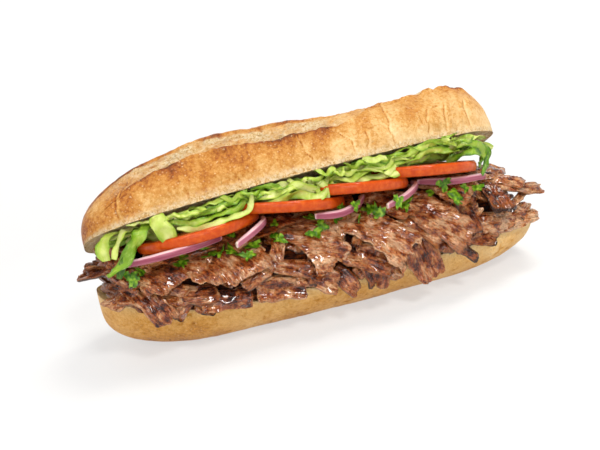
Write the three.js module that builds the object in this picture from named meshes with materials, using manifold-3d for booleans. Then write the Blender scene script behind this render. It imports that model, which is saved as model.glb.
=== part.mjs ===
// A doner kebab sandwich: a short baguette cut right through, filled with shaved meat, red onion,
// tomato slices and shredded lettuce, with chopped parsley on the meat.
// Millimetres, +Z up. X runs along the loaf, -Y is the open front, and the loaf rests on z = 0.

import * as THREE from "three";
import Module from "manifold-3d";

const wasm = await Module();
wasm.setup();

// Driving dimensions
const clearance = 0.4;
const bottomLoaf = {
  left: 129.5,
  right: 145.5,
  halfWidth: 41.5,
  cutHeight: 26.5,
  leftRise: 12,
  rightRise: 4,
  soleRise: 7.5,
  leftPower: 2.4,
  rightPower: 3,
  endPower: 5,
  sectionPower: 1.9,
};
const topLoaf = {
  left: 128,
  right: 126,
  halfWidth: 40,
  height: 37.5,
  planPower: 2.9,
  leftPower: 2.8,
  rightPower: 4.5,
  sectionPower: 2.9,
  centre: new THREE.Vector3(-3, -3.5, 72.2),
  open: 30,
  climb: 2.5,
  yaw: 1.5,
};
const slash = {
  width: 0.19,
  lipRise: 2.2,
  floorDrop: 1.8,
  backRise: 1,
  // place along the half loaf (-1 to 1), share of the way over it at the front lip
  course: [[-1, 0.11], [-0.85, 0.15], [-0.7, 0.17], [-0.5, 0.187], [-0.3, 0.175], [-0.1, 0.135],
    [0.1, 0.13], [0.2, 0.17], [0.3, 0.222], [0.5, 0.24], [0.7, 0.245], [0.9, 0.26], [1, 0.27]],
};
const heap = {
  left: 143,
  right: 155,
  planPower: 2.4,
  frontReach: 43.5,
  backReach: 37,
  crest: 62,
  power: 2.3,
  radius: 42,
  cover: 9,
};
const tomato = { radius: 35, thickness: 6.4, bevel: 1.2, frontLift: 12, sides: 24 };
const tomatoSlices = [
  { x: -69, y: -14, z: 65, climb: 4.5 },
  { x: -18, y: -14, z: 69.3, climb: -8.5 },
  { x: 22, y: -14, z: 71.5, climb: -7 },
  { x: 66, y: -15, z: 72.6, climb: -7 },
];
const onion = { height: 5.4, wall: 3.4, steps: 11 };
const onionArcs = [
  [[-113, -36, 62], [-95, -43, 64.6], [-75, -43, 66], [-60, -32, 64]],
  [[-54.5, -45, 62], [-45, -43, 66], [-36, -35, 68], [-33, -22, 66.5]],
  [[-8, -40, 66.5], [6, -42, 65.5], [18, -38, 67], [27, -24, 66.5]],
  [[34, -42, 63.5], [46, -42, 67], [56, -34, 69], [60, -20, 67]],
  [[62, -24, 68], [78, -37, 68], [96, -36, 66.5], [106, -24, 62]],
];
const meatSlice = { thickness: 2.3, sunk: -1, lengthCells: 4, widthCells: 2 };
// x, degrees round the heap, length, width, turn of the long axis in degrees, lift of the lower edge off the heap
const shownSlices = [
  [-127, 38, 20, 14, -3, 3.2],
  [-116, 43, 40, 15, 58, 3.2],
  [-102, 80, 27, 15, 57, 5.7],
  [-90, 53, 36, 22, -19, 6.6],
  [-59, 53, 42, 27, 1, 6.9],
  [-80, 77, 24, 11, -2, 3.7],
  [-64, 84, 28, 10, 2, 4.9],
  [-46, 68, 22, 13, -23, 5.5],
  [-34, 84, 28, 13, 9, 3.2],
  [-30, 26, 28, 22, -5, 5.5],
  [-28, 69, 28, 10, 20, 3.7],
  [-10, 49, 42, 26, 66, 7.8],
  [24, 53, 52, 24, 50, 8.9],
  [41, 32, 36, 18, 65, 6],
  [52, 66, 30, 10, 43, 6.4],
  [65, 61, 43, 21, 53, 8.9],
  [77, 89, 20, 7, 48, 6.6],
  [51, 86, 28, 20, 76, 5.5],
  [76, 31, 40, 22, 54, 7.8],
  [84, 66, 22, 12, 90, 4.9],
  [106, 52, 28, 15, 92, 7.2],
  [126, 46, 38, 16, 20, 5],
  [116, 30, 36, 16, 38, 5],
  [114, 82, 44, 13, 12, 4],
  [89, 86, 25, 8, 15, 4.3],
  [12, 73, 42, 14, 28, 4.9],
  [18, 87, 18, 10, 76, 4.3],
  [3, 90, 18, 10, 54, 4.8],
  [-13, 83, 24, 12, 25, 4.3],
  [30, 87, 17, 11, 47, 3.7],
  [-59, 26, 30, 19, 2, 4.3],
  [5, 16, 34, 18, 26, 4.3],
  [-88, 34, 27, 17, -21, 3.7],
];
const backSlices = { count: 10, lengthCells: 4, widthCells: 2 };
const shred = { thickness: 0.9, lengthCells: 6, broad: 9 };
// control points of each shown shred, then its width, its twist in degrees and its ruffle
const shownShreds = [
  [[-104, -16, 77], [-115, -27, 78], [-121, -34, 74], [-121.5, -38, 64], 12, 10, 1.2],
  [[-94, -28, 82], [-104, -39, 76], [-113, -43, 67], [-121, -44, 62], 9, 15, 1],
  [[-106, -40, 72], [-113, -43, 66], [-117, -44, 58.5], 5, -10, 0.6],
  [[-92, -32, 85], [-90.5, -40, 81], [-87, -41, 73], [-85, -40, 69], 12, 5, 1.4],
  [[-84, -38, 78], [-72, -42, 76], [-58, -43, 78.5], [-46, -40, 80], [-41.5, -36, 89], 8, 25, 1.6],
  [[-76, -34, 82], [-62, -38, 84], [-48, -36, 86], [-36, -34, 86], 7, -30, 2],
  [[-42, -36, 82], [-30, -41, 82], [-18, -40, 84], [-6, -41, 80], [2, -38, 84], 10, 20, 2.4],
  [[-10, -36, 85], [-3, -41, 82], [-2, -42, 76], 7, 0, 1],
  [[2, -34, 83], [14, -41, 81], [26, -40, 84], [38, -40, 84], [46, -34, 87], 9, -20, 2.4],
  [[20, -34, 88], [30, -40, 88], [38, -41, 83], [50, -36, 84], 8, 30, 2],
  [[40, -34, 86], [52, -40, 88], [64, -38, 91], [78, -39, 88], [86, -34, 86], 7, 15, 2.6],
  [[56, -32, 90], [66, -37, 90], [74, -36, 91], 9, 40, 1.5],
  [[74, -32, 82], [86, -38, 86], [96, -36, 83], [99, -32, 75], 10, -10, 2],
  [[88, -28, 84], [98, -30, 84], [106, -29, 79], [97, -36, 70], 7, 20, 1.6],
  [[92, -22, 84], [102, -24, 84], [111, -24, 80], 4.5, 0, 0.8],
];
const looseShreds = { count: 6 };
const lettuceCore = { left: -112, right: 98, frontY: -35, backY: 27, frontDepth: 11, backDepth: 2.4 };
// x and degrees round the heap of each pinch of parsley
const parsleyPinches = [[-109, 60], [-84, 48], [-66, 36], [-51, 15], [-45, 34], [-43, 42], [-35, 20], [-30, 35],
  [-12, 24], [-7, 33], [3, 24], [5, 12], [15, 14], [24, 22], [43, 20], [60, 10], [67, 8], [77, 22], [85, 16]];
const parsleyLeaf = { thickness: 1.1, length: 7.5, width: 4 };

const colours = {
  crustTop: 0xcf9048,
  crustBottom: 0xd3a05a,
  meat: 0x84492c,
  tomato: 0xd4411c,
  onion: 0xc08ab4,
  lettuce: 0x93b83a,
};

const radians = THREE.MathUtils.degToRad;
const clamp = THREE.MathUtils.clamp;
const mix = THREE.MathUtils.lerp;

// A repeatable draw between 0 and 1 for piece i and quantity k.
function draw(i, k) {
  const s = Math.sin(i * 12.9898 + k * 78.233) * 43758.5453;
  return s - Math.floor(s);
}

function spread(i, k, reach) {
  return (2 * draw(i, k) - 1) * reach;
}

// A cosine or sine squared off, as round a superellipse.
function squared(value, power) {
  return Math.sign(value) * Math.abs(value) ** (2 / power);
}

function taper(share, power) {
  return Math.max(0, 1 - Math.abs(share) ** power) ** (1 / power);
}

function bump(value, centre, reach) {
  return Math.exp(-(((value - centre) / reach) ** 2));
}

function along(table, x) {
  const last = table.length - 1;
  let i = 0;
  while (i < last - 1 && x > table[i + 1][0]) i++;
  const share = clamp((x - table[i][0]) / (table[i + 1][0] - table[i][0]), 0, 1);
  return mix(table[i][1], table[i + 1][1], share * share * (3 - 2 * share));
}

// Joins equal points, drops faces without area and turns the faces outward.
function closedGeometry(points, faces) {
  const places = [];
  const numbers = new Map();
  const index = points.map((p) => {
    const key = `${Math.round(p.x * 1e4)},${Math.round(p.y * 1e4)},${Math.round(p.z * 1e4)}`;
    if (!numbers.has(key)) {
      numbers.set(key, places.length);
      places.push(p);
    }
    return numbers.get(key);
  });
  let kept = [];
  for (let i = 0; i < faces.length; i += 3) {
    const [a, b, c] = [index[faces[i]], index[faces[i + 1]], index[faces[i + 2]]];
    if (a !== b && b !== c && c !== a) kept.push([a, b, c]);
  }
  let volume = 0;
  const cross = new THREE.Vector3();
  for (const [a, b, c] of kept) volume += places[a].dot(cross.crossVectors(places[b], places[c]));
  if (volume < 0) kept = kept.map(([a, b, c]) => [a, c, b]);
  const geometry = new THREE.BufferGeometry();
  geometry.setAttribute("position", new THREE.Float32BufferAttribute(places.flatMap((p) => [p.x, p.y, p.z]), 3));
  geometry.setIndex(kept.flat());
  return geometry;
}

function solidOf(geometry) {
  return new wasm.Manifold(
    new wasm.Mesh({
      numProp: 3,
      vertProperties: new Float32Array(geometry.getAttribute("position").array),
      triVerts: new Uint32Array(geometry.getIndex().array),
    }),
  );
}

function geometryFrom(solid) {
  const mesh = solid.getMesh();
  const points = [];
  for (let i = 0; i < mesh.vertProperties.length; i += mesh.numProp) {
    points.push(new THREE.Vector3(...mesh.vertProperties.subarray(i, i + 3)));
  }
  return closedGeometry(points, Array.from(mesh.triVerts));
}

function largestBody(solid) {
  return solid.decompose().sort((a, b) => b.volume() - a.volume())[0];
}

// A closed sheet between two like grids of points. Both faces are split into triangles alike.
function sheetGeometry(rows, columns, outer, inner) {
  const points = [];
  for (const place of [outer, inner]) {
    for (let i = 0; i <= rows; i++) {
      for (let j = 0; j <= columns; j++) points.push(place(i, j));
    }
  }
  const layer = (rows + 1) * (columns + 1);
  const at = (i, j) => i * (columns + 1) + j;
  const faces = [];
  for (let i = 0; i < rows; i++) {
    for (let j = 0; j < columns; j++) {
      const [a, b, c, d] = [at(i, j), at(i + 1, j), at(i + 1, j + 1), at(i, j + 1)];
      faces.push(a, b, c, a, c, d);
      faces.push(a + layer, c + layer, b + layer, a + layer, d + layer, c + layer);
    }
  }
  const rim = [];
  for (let j = 0; j < columns; j++) rim.push(at(0, j));
  for (let i = 0; i < rows; i++) rim.push(at(i, columns));
  for (let j = columns; j > 0; j--) rim.push(at(rows, j));
  for (let i = rows; i > 0; i--) rim.push(at(i, 0));
  rim.forEach((a, k) => {
    const b = rim[(k + 1) % rim.length];
    faces.push(a, b, b + layer, a, b + layer, a + layer);
  });
  return closedGeometry(points, faces);
}

// A body of cross-sections. Each is an open run of points, closed by a straight chord.
function sectionedGeometry(stations, knots, section) {
  const points = [];
  stations.forEach((station) => knots.forEach((knot) => points.push(section(station, knot))));
  const faces = [];
  const count = knots.length;
  for (let i = 0; i < stations.length - 1; i++) {
    for (let j = 0; j < count; j++) {
      const next = (j + 1) % count;
      const [a, b, c, d] = [i * count + j, (i + 1) * count + j, (i + 1) * count + next, i * count + next];
      faces.push(a, c, b, a, d, c);
    }
  }
  const end = (stations.length - 1) * count;
  for (let j = 1; j < count - 1; j++) {
    faces.push(0, j + 1, j);
    faces.push(end, end + j, end + j + 1);
  }
  return closedGeometry(points, faces);
}

function roundedStations(count) {
  return Array.from({ length: count + 1 }, (_, i) => Math.sin(((2 * i) / count - 1) * (Math.PI / 2)));
}

function evenKnots(count) {
  return Array.from({ length: count + 1 }, (_, i) => i / count);
}

// Height of the bottom half's cut at x.
function cutHeight(x) {
  const share = clamp(x < 0 ? x / bottomLoaf.left : x / bottomLoaf.right, -1, 1);
  return bottomLoaf.cutHeight + (x < 0 ? bottomLoaf.leftRise : bottomLoaf.rightRise) * share ** 4;
}

function bottomLoafGeometry(grow = 0, count = 34, steps = 13) {
  return sectionedGeometry(roundedStations(count), evenKnots(steps), (share, around) => {
    const x = (share < 0 ? bottomLoaf.left + grow : bottomLoaf.right + grow) * share;
    const width = (bottomLoaf.halfWidth + grow) * taper(share, share < 0 ? bottomLoaf.leftPower : bottomLoaf.rightPower);
    const top = cutHeight(x) + grow;
    const sole = bottomLoaf.soleRise * (Math.max(0, Math.abs(share) - 0.5) / 0.5) ** 2 - grow;
    const depth = (top - sole + 3) * taper(share, bottomLoaf.endPower);
    const angle = around * Math.PI;
    const ripple = 0.5 * Math.sin(9 * share + 4 * around) * Math.sin(angle) * taper(share, 3);
    const y = -(width + ripple) * squared(Math.cos(angle), bottomLoaf.sectionPower);
    const z = top - depth * squared(Math.sin(angle), bottomLoaf.sectionPower);
    return new THREE.Vector3(x, y, Math.max(z, Math.min(sole, top)));
  });
}

// How far the crust of the top half stands out from its plain dome at the slash.
function slashRelief(share, around) {
  const behind = (around - along(slash.course, share)) / slash.width;
  const ends = clamp((1 - Math.abs(share)) / 0.15, 0, 1);
  if (behind <= 0) return ends * slash.lipRise * bump(behind, 0, 0.28);
  if (behind < 1) return ends * -slash.floorDrop * Math.sin(Math.PI * behind) ** 0.6;
  return ends * slash.backRise * bump(behind, 1, 0.4);
}

// Turns a place on the half loaf into a mesh row, so that rows follow the slash's two edges.
function slashKnots(share) {
  const front = along(slash.course, share);
  const rows = [0, 0.2, 0.42, 0.65, 0.86, 1].map((part) => part * front);
  for (const part of [0.16, 0.5, 0.84, 1]) rows.push(front + part * slash.width);
  const rest = front + slash.width;
  for (const part of [0.16, 0.34, 0.54, 0.76, 1]) rows.push(mix(rest, 1, part));
  return rows;
}

const topLoafMatrix = new THREE.Matrix4()
  .makeRotationFromEuler(new THREE.Euler(-radians(topLoaf.open), -radians(topLoaf.climb), radians(topLoaf.yaw), "ZYX"))
  .setPosition(topLoaf.centre);

function topLoafGeometry(grow = 0, count = 36) {
  const rows = slashKnots(0).map((_, i) => i);
  return sectionedGeometry(roundedStations(count), rows, (share, row) => {
    const around = slashKnots(share)[row];
    const angle = around * Math.PI;
    const x = (share < 0 ? topLoaf.left + grow : topLoaf.right + grow) * share;
    const width = topLoaf.halfWidth * taper(share, topLoaf.planPower);
    const end = taper(share, share < 0 ? topLoaf.leftPower : topLoaf.rightPower);
    const height = topLoaf.height * end * (1 + 0.09 * bump(share, -0.4, 0.42) - 0.08 * bump(share, 0.25, 0.35) + 0.08 * bump(share, 0.85, 0.18));
    const ripple = 0.5 * Math.sin(17 * share + 7 * around) * Math.sin(angle);
    const relief = (slashRelief(share, around) + ripple) * end;
    const y = -(width + relief + grow) * squared(Math.cos(angle), topLoaf.sectionPower);
    const z = (height + relief + 2 * grow) * squared(Math.sin(angle), topLoaf.sectionPower) - grow;
    return new THREE.Vector3(x, y, Math.max(z, -grow));
  }).applyMatrix4(topLoafMatrix);
}

// Height of the top half's cut over a point.
function topUnderside(x, y) {
  const normal = new THREE.Vector3(0, 0, 1).transformDirection(topLoafMatrix);
  const { centre } = topLoaf;
  return centre.z - (normal.x * (x - centre.x) + normal.y * (y - centre.y)) / normal.z;
}

// The heap of meat: angle 0 is its ridge and 90 degrees its foot. Beyond that it hangs over the crust.
function heapPoint(x, angle, inset = 0) {
  const end = taper(clamp(x / (x < 0 ? heap.left : heap.right), -1, 1), heap.planPower);
  const upright = Math.min(Math.abs(angle), Math.PI / 2);
  const reach = (angle > 0 ? heap.frontReach : heap.backReach) * end - inset;
  const y = -Math.sign(angle) * reach * squared(Math.sin(upright), heap.power);
  const foot = cutHeight(x) + 1;
  const ridge = heap.crest - 10 * Math.abs(x / 140) ** 5 + 1.5 * bump(x, 40, 40) + 4 * bump(x, 90, 28);
  const top = ridge - 0.0085 * Math.max(0, y + 15) ** 2 - inset;
  const lift = squared(Math.cos(upright), heap.power);
  return new THREE.Vector3(x, y, foot + (top - foot) * lift - (Math.abs(angle) - upright) * heap.radius);
}

function heapNormal(x, angle) {
  const round = heapPoint(x, angle + 0.06).sub(heapPoint(x, angle - 0.06));
  const lengthwise = heapPoint(x + 3, angle).sub(heapPoint(x - 3, angle));
  return round.cross(lengthwise).normalize();
}

// The packed middle of the heap, or with grow the room that the heap and its slices take up.
function meatCoreGeometry(grow = 0) {
  return sectionedGeometry(roundedStations(18), evenKnots(11), (share, around) => {
    const x = ((share < 0 ? 124 : 129) + grow) * share;
    const point = heapPoint(x, radians(mix(92, -92, around)), 0.5 - grow);
    const end = taper(share, 8);
    point.y *= end;
    point.z = mix(cutHeight(x) + 6, Math.max(point.z, cutHeight(x) + clearance), end);
    return point;
  });
}

// One shaved slice laid on the heap, thin and wavy with a ragged outline.
function sliceGeometry(i, [x, degrees, length, width, turn, lift], rows, columns) {
  const turned = radians(turn);
  const place = (side) => (row, column) => {
    const a = (row / rows) * 2 - 1;
    const b = (column / columns) * 2 - 1;
    const outline = mix(0.45, 1, taper(a, 2.6)) * (1 + 0.12 * Math.sin(3 * a + 6 * draw(i, 1)));
    const lengthwise = (length / 2) * a * (1 + spread(17 * i + column, 4, 0.12));
    const crosswise = (width / 2) * b * outline * (1 + spread(31 * i + row, b < 0 ? 2 : 3, 0.14));
    const dx = lengthwise * Math.cos(turned) - crosswise * Math.sin(turned);
    const down = lengthwise * Math.sin(turned) + crosswise * Math.cos(turned);
    const angle = radians(degrees) + down / heap.radius;
    const wave = 0.8 * Math.sin(2.6 * a + 6 * draw(i, 5)) + 0.6 * Math.sin(3.4 * b + 6 * draw(i, 6));
    const point = heapPoint(x + dx, angle);
    const low = 0.5 + down / (Math.abs(Math.sin(turned)) * length + Math.abs(Math.cos(turned)) * width);
    const raise = mix(meatSlice.sunk, lift, low) + wave + (side - 0.5) * meatSlice.thickness;
    return point.addScaledVector(heapNormal(x + dx, angle), raise);
  };
  return sheetGeometry(rows, columns, place(1), place(0));
}

function backSlice(k) {
  const x = mix(-112, 112, (k + 0.5) / backSlices.count) + spread(k, 11, 6);
  return [x, -62 + spread(k, 12, 24), 34 + spread(k, 13, 8), 20 + spread(k, 14, 5), spread(k, 15, 60), 3 + 2 * draw(k, 16)];
}

// How far the slices stand off the heap at a point, to set the parsley on top of them.
function coverAt(x, degrees) {
  let cover = 0;
  for (const [sx, sd, length, width, turn, lift] of shownSlices) {
    const dx = x - sx;
    const down = radians(degrees - sd) * heap.radius;
    const c = Math.cos(radians(turn));
    const s = Math.sin(radians(turn));
    const a = (dx * c + down * s) / (length / 2);
    const b = (down * c - dx * s) / (width / 2);
    if (Math.abs(a) < 0.9 && Math.abs(b) < 0.85) {
      const low = 0.5 + down / (Math.abs(s) * length + Math.abs(c) * width);
      cover = Math.max(cover, mix(meatSlice.sunk, lift, low) + meatSlice.thickness / 2);
    }
  }
  return cover;
}

// A bent parsley leaf of three points, with its foot in the meat.
function parsleyGeometry(k, x, degrees, half) {
  const turned = spread(k, 21 + half, Math.PI);
  const cover = coverAt(x, degrees);
  const { thickness, length, width } = parsleyLeaf;
  const widths = [0.35, 1, 0.2];
  const place = (side) => (row, column) => {
    const a = (row / 2) * length - length * 0.3;
    const b = (column - 0.5) * widths[row] * width;
    const dx = a * Math.cos(turned) - b * Math.sin(turned);
    const down = a * Math.sin(turned) + b * Math.cos(turned);
    const angle = radians(degrees) + down / heap.radius;
    const raise = cover - 1.2 + 0.12 * a + 0.3 * Math.abs(b) + side * (thickness + 1);
    return heapPoint(x + dx, angle).addScaledVector(heapNormal(x + dx, angle), raise);
  };
  return sheetGeometry(2, 1, place(1), place(0));
}

function tomatoGeometry(slice, grow = 0) {
  const radius = tomato.radius + grow;
  const half = tomato.thickness / 2 + grow;
  const rings = [[0, half], [radius * 0.6, half], [radius - tomato.bevel, half], [radius, half - tomato.bevel],
    [radius, tomato.bevel - half], [radius - tomato.bevel, -half], [radius * 0.6, -half], [0, -half]];
  const stations = Array.from({ length: tomato.sides }, (_, i) => (i / tomato.sides) * 2 * Math.PI);
  const points = [];
  for (const angle of stations) {
    for (const [r, offset] of rings) {
      const lobed = r * (1 + 0.012 * Math.cos(5 * angle + slice.x));
      const x = slice.x + lobed * Math.cos(angle);
      const y = slice.y + lobed * Math.sin(angle);
      const flat = slice.z + Math.tan(radians(slice.climb)) * (x - slice.x) - Math.tan(radians(tomato.frontLift)) * (y - slice.y);
      const lid = topUnderside(x, y) - tomato.thickness / 2 - 1.5;
      points.push(new THREE.Vector3(x, y, Math.min(flat, lid) + offset));
    }
  }
  const faces = [];
  const count = rings.length;
  stations.forEach((_, i) => {
    const next = (i + 1) % stations.length;
    for (let j = 0; j < count - 1; j++) {
      const [a, b, c, d] = [i * count + j, i * count + j + 1, next * count + j + 1, next * count + j];
      faces.push(a, b, c, a, c, d);
    }
  });
  return closedGeometry(points, faces);
}

function onionGeometry(path, grow = 0) {
  const curve = new THREE.CatmullRomCurve3(path.map((p) => new THREE.Vector3(...p)), false, "centripetal");
  const up = new THREE.Vector3(0, -Math.sin(radians(12)), Math.cos(radians(12)));
  const outline = [[-0.5, -0.38], [0, -0.5], [0.5, -0.38], [0.5, 0.38], [0, 0.5], [-0.5, 0.38]];
  return sectionedGeometry(evenKnots(onion.steps), outline, (share, [across, upward]) => {
    const end = 1 - 0.3 * Math.abs(2 * share - 1) ** 6;
    const tangent = curve.getTangent(share);
    const side = new THREE.Vector3().crossVectors(tangent, up).normalize();
    const lengthen = grow * (2 * share - 1);
    return curve
      .getPoint(share)
      .addScaledVector(tangent, lengthen)
      .addScaledVector(side, across * (onion.wall * end + 2 * grow))
      .addScaledVector(up, upward * (onion.height * end + 2 * grow));
  });
}

// A strip of leaf along a run of points, ruffled and a little twisted.
function shredGeometry(k, path, width, twist, ruffle) {
  const curve = new THREE.CatmullRomCurve3(path.map((p) => new THREE.Vector3(...p)), false, "centripetal");
  const { thickness, lengthCells, broad } = shred;
  const widthCells = width < broad ? 1 : 2;
  const face = new THREE.Vector3(0, -Math.cos(radians(35)), Math.sin(radians(35)));
  const place = (sideOf) => (row, column) => {
    const share = row / lengthCells;
    const across = (column / widthCells) * 2 - 1;
    const tangent = curve.getTangent(share);
    const side = new THREE.Vector3().crossVectors(tangent, face).normalize();
    side.applyAxisAngle(tangent, radians(twist * (2 * share - 1) + spread(k, 31, 12)));
    const normal = new THREE.Vector3().crossVectors(side, tangent).normalize();
    const narrow = 1 - 0.45 * Math.abs(2 * share - 1) ** 3;
    const wave = ruffle * 0.5 * Math.sin(9 * share + 2.2 * across + 6 * draw(k, 32)) * (0.4 + 0.6 * Math.abs(across));
    return curve
      .getPoint(share)
      .addScaledVector(side, across * (width / 2) * narrow)
      .addScaledVector(normal, wave + (sideOf - 0.5) * thickness);
  };
  return sheetGeometry(lengthCells, widthCells, place(1), place(0));
}

function looseShred(k) {
  const x = mix(-100, 88, (k + 0.5) / looseShreds.count) + spread(k, 41, 8);
  const y = 23 + spread(k, 42, 2);
  const level = (px, py) => topUnderside(px, py) - 2;
  const reach = 15 + spread(k, 43, 4);
  return [
    [x - reach, y - 4, level(x - reach, y - 4)],
    [x - reach / 3, y + 6, level(x, y + 6)],
    [x + reach / 3, y + 10, level(x, y + 10)],
    [x + reach, y + 7, level(x + reach, y + 7) - 1],
    7, spread(k, 44, 30), 1.6,
  ];
}

// The packed lettuce between the tomatoes and the top half, deep at the front and thin at the back.
function lettuceCoreGeometry() {
  const { left, right, frontY, backY, frontDepth, backDepth } = lettuceCore;
  const rows = 11;
  const columns = 4;
  const place = (isTop) => (row, column) => {
    const share = (row / rows) * 2 - 1;
    const x = mix(left, right, row / rows);
    const end = mix(0.55, 1, taper(share, 4));
    const y = mix(frontY, backY, column / columns) * end + spread(row, 51, 1.2) * (column === 0 ? 1 : 0);
    const top = topUnderside(x, y) - clearance;
    const depth = mix(frontDepth, backDepth, (column / columns) ** 0.7) + spread(7 * row + column, 52, 0.8);
    return new THREE.Vector3(x, y, isTop ? top : top - depth);
  };
  return sheetGeometry(rows, columns, place(true), place(false));
}

function union(solids) {
  return solids.reduce((sum, solid) => sum.add(solid));
}

const bottomSolid = solidOf(bottomLoafGeometry());
const topSolid = solidOf(topLoafGeometry());
const bottomRoom = solidOf(bottomLoafGeometry(clearance));
const topRoom = solidOf(topLoafGeometry(clearance));

const tomatoSolids = [];
const tomatoRooms = [];
tomatoSlices.forEach((slice) => {
  let solid = solidOf(tomatoGeometry(slice)).subtract(topRoom);
  for (const room of tomatoRooms) solid = solid.subtract(room);
  tomatoSolids.push(largestBody(solid));
  tomatoRooms.push(solidOf(tomatoGeometry(slice, clearance)));
});

const onionSolids = [];
const onionRooms = [];
onionArcs.forEach((path) => {
  let solid = solidOf(onionGeometry(path));
  for (const room of [...tomatoRooms, ...onionRooms, topRoom]) solid = solid.subtract(room);
  onionSolids.push(largestBody(solid));
  onionRooms.push(solidOf(onionGeometry(path, clearance)));
});

const meatParts = [solidOf(meatCoreGeometry())];
shownSlices.forEach((slice, i) => {
  meatParts.push(solidOf(sliceGeometry(i, slice, meatSlice.lengthCells, meatSlice.widthCells)));
});
for (let k = 0; k < backSlices.count; k++) {
  meatParts.push(solidOf(sliceGeometry(100 + k, backSlice(k), backSlices.lengthCells, backSlices.widthCells)));
}
parsleyPinches.forEach(([x, degrees], k) => {
  meatParts.push(solidOf(parsleyGeometry(k, x, degrees, 0)));
});
let meatSolid = union(meatParts).subtract(bottomRoom).subtract(topRoom);
for (const room of [...tomatoRooms, ...onionRooms]) meatSolid = meatSolid.subtract(room);
meatSolid = largestBody(meatSolid);

const lettuceParts = [solidOf(lettuceCoreGeometry()).subtract(solidOf(meatCoreGeometry(heap.cover)))];
shownShreds.forEach((row, k) => {
  const path = row.filter((item) => Array.isArray(item));
  lettuceParts.push(solidOf(shredGeometry(k, path, ...row.slice(path.length))));
});
for (let k = 0; k < looseShreds.count; k++) {
  const row = looseShred(k);
  lettuceParts.push(solidOf(shredGeometry(60 + k, row.slice(0, 4), ...row.slice(4))));
}
let lettuceSolid = union(lettuceParts).subtract(topRoom);
for (const room of [...tomatoRooms, ...onionRooms]) lettuceSolid = lettuceSolid.subtract(room);
for (const move of [[0, 0, 0], [0, 0, clearance]]) {
  lettuceSolid = lettuceSolid.subtract(meatSolid.translate(move));
}
lettuceSolid = largestBody(lettuceSolid);

const group = new THREE.Group();

function addPiece(name, solid, color, roughness) {
  const mesh = new THREE.Mesh(geometryFrom(solid), new THREE.MeshStandardMaterial({ color, roughness, metalness: 0 }));
  mesh.name = name;
  group.add(mesh);
}

addPiece("bread_bottom", bottomSolid, colours.crustBottom, 0.7);
addPiece("bread_top", topSolid, colours.crustTop, 0.65);
addPiece("meat", meatSolid, colours.meat, 0.45);
tomatoSolids.forEach((solid, i) => addPiece(`tomato_${i + 1}`, solid, colours.tomato, 0.3));
onionSolids.forEach((solid, i) => addPiece(`onion_${i + 1}`, solid, colours.onion, 0.35));
addPiece("lettuce", lettuceSolid, colours.lettuce, 0.5);

export default group;
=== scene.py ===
# A doner kebab sandwich in half a baguette, seen from its open front.
# Lengths are worked in millimetres and turned to metres when a mesh is made.

import math

import bmesh
import bpy
import numpy as np
from mathutils import Matrix, Vector
from mathutils.bvhtree import BVHTree


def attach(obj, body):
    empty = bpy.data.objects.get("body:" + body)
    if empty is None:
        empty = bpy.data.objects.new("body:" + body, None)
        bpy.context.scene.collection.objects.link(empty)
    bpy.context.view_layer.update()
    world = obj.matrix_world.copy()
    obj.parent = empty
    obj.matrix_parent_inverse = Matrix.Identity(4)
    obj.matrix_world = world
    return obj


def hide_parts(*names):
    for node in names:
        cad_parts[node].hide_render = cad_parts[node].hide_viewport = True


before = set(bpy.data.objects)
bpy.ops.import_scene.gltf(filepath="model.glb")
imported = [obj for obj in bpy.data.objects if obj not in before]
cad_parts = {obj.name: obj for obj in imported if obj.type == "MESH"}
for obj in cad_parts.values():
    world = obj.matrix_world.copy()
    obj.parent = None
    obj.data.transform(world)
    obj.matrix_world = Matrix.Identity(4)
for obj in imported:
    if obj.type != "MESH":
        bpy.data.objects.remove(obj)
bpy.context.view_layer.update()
print("frame loaded")


# numbers shared by the pieces: the sandwich's own sizes in millimetres

bottomLoaf = {
    "left": 129.5,
    "right": 145.5,
    "halfWidth": 41.5,
    "cutHeight": 26.5,
    "leftRise": 12,
    "rightRise": 4,
    "soleRise": 7.5,
    "soleFrom": 0.5,
    "belly": 3,
    "leftPower": 2.4,
    "rightPower": 3,
    "endPower": 5,
    "sectionPower": 1.9,
    "stations": 300,
    "sideRows": 120,
    "cutRows": 50,
}
topLoaf = {
    "left": 128,
    "right": 126,
    "halfWidth": 40,
    "height": 37.5,
    "planPower": 2.9,
    "leftPower": 2.8,
    "rightPower": 4.5,
    "sectionPower": 2.9,
    # how much higher than its height it swells, where along the half loaf and over what reach
    "swells": [(0.09, -0.4, 0.42), (-0.08, 0.25, 0.35), (0.08, 0.85, 0.18)],
    "rollIn": 1.6,
    "centre": (-3, -3.5, 72.2),
    "open": 30,
    "climb": 2.5,
    "yaw": 1.5,
    "stations": 430,
    "cutRows": 38,
}
slash = {
    "width": 0.17,
    "lipRise": 1.7,
    "floorDrop": 1.1,
    "backRise": 1.1,
    "bridge": 0.27,
    "course": [(-1, 0.12), (-0.85, 0.148), (-0.7, 0.163), (-0.5, 0.168), (-0.3, 0.152), (-0.13, 0.132),
               (0.0, 0.145), (0.15, 0.15), (0.27, 0.21), (0.42, 0.3), (0.6, 0.3), (0.8, 0.31), (1, 0.33)],
}
heap = {
    "left": 143,
    "right": 155,
    "planPower": 2.4,
    "frontReach": 43.5,
    "backReach": 37,
    "crest": 62,
    # extra height of the ridge, its place along the loaf and its reach
    "humps": [(1.5, 40, 40), (4, 90, 28)],
    "endFall": 10,
    "endReach": 140,
    "frontSlope": 0.0085,
    "slopeFrom": -15,
    "power": 2.3,
    "radius": 42,
}
meshing = {"metres": 0.001, "sharpAngle": 50, "weldDistance": 1e-7}
# where the numbers of each kind of item start: those of one food stay apart, and so do their shapes
firstNumber = {
    "scraps": 200,
    "backSlices": 300,
    "endLayers": 400,
    "fillers": 80,
    "backShreds": 220,
    "curls": 260,
}


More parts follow.
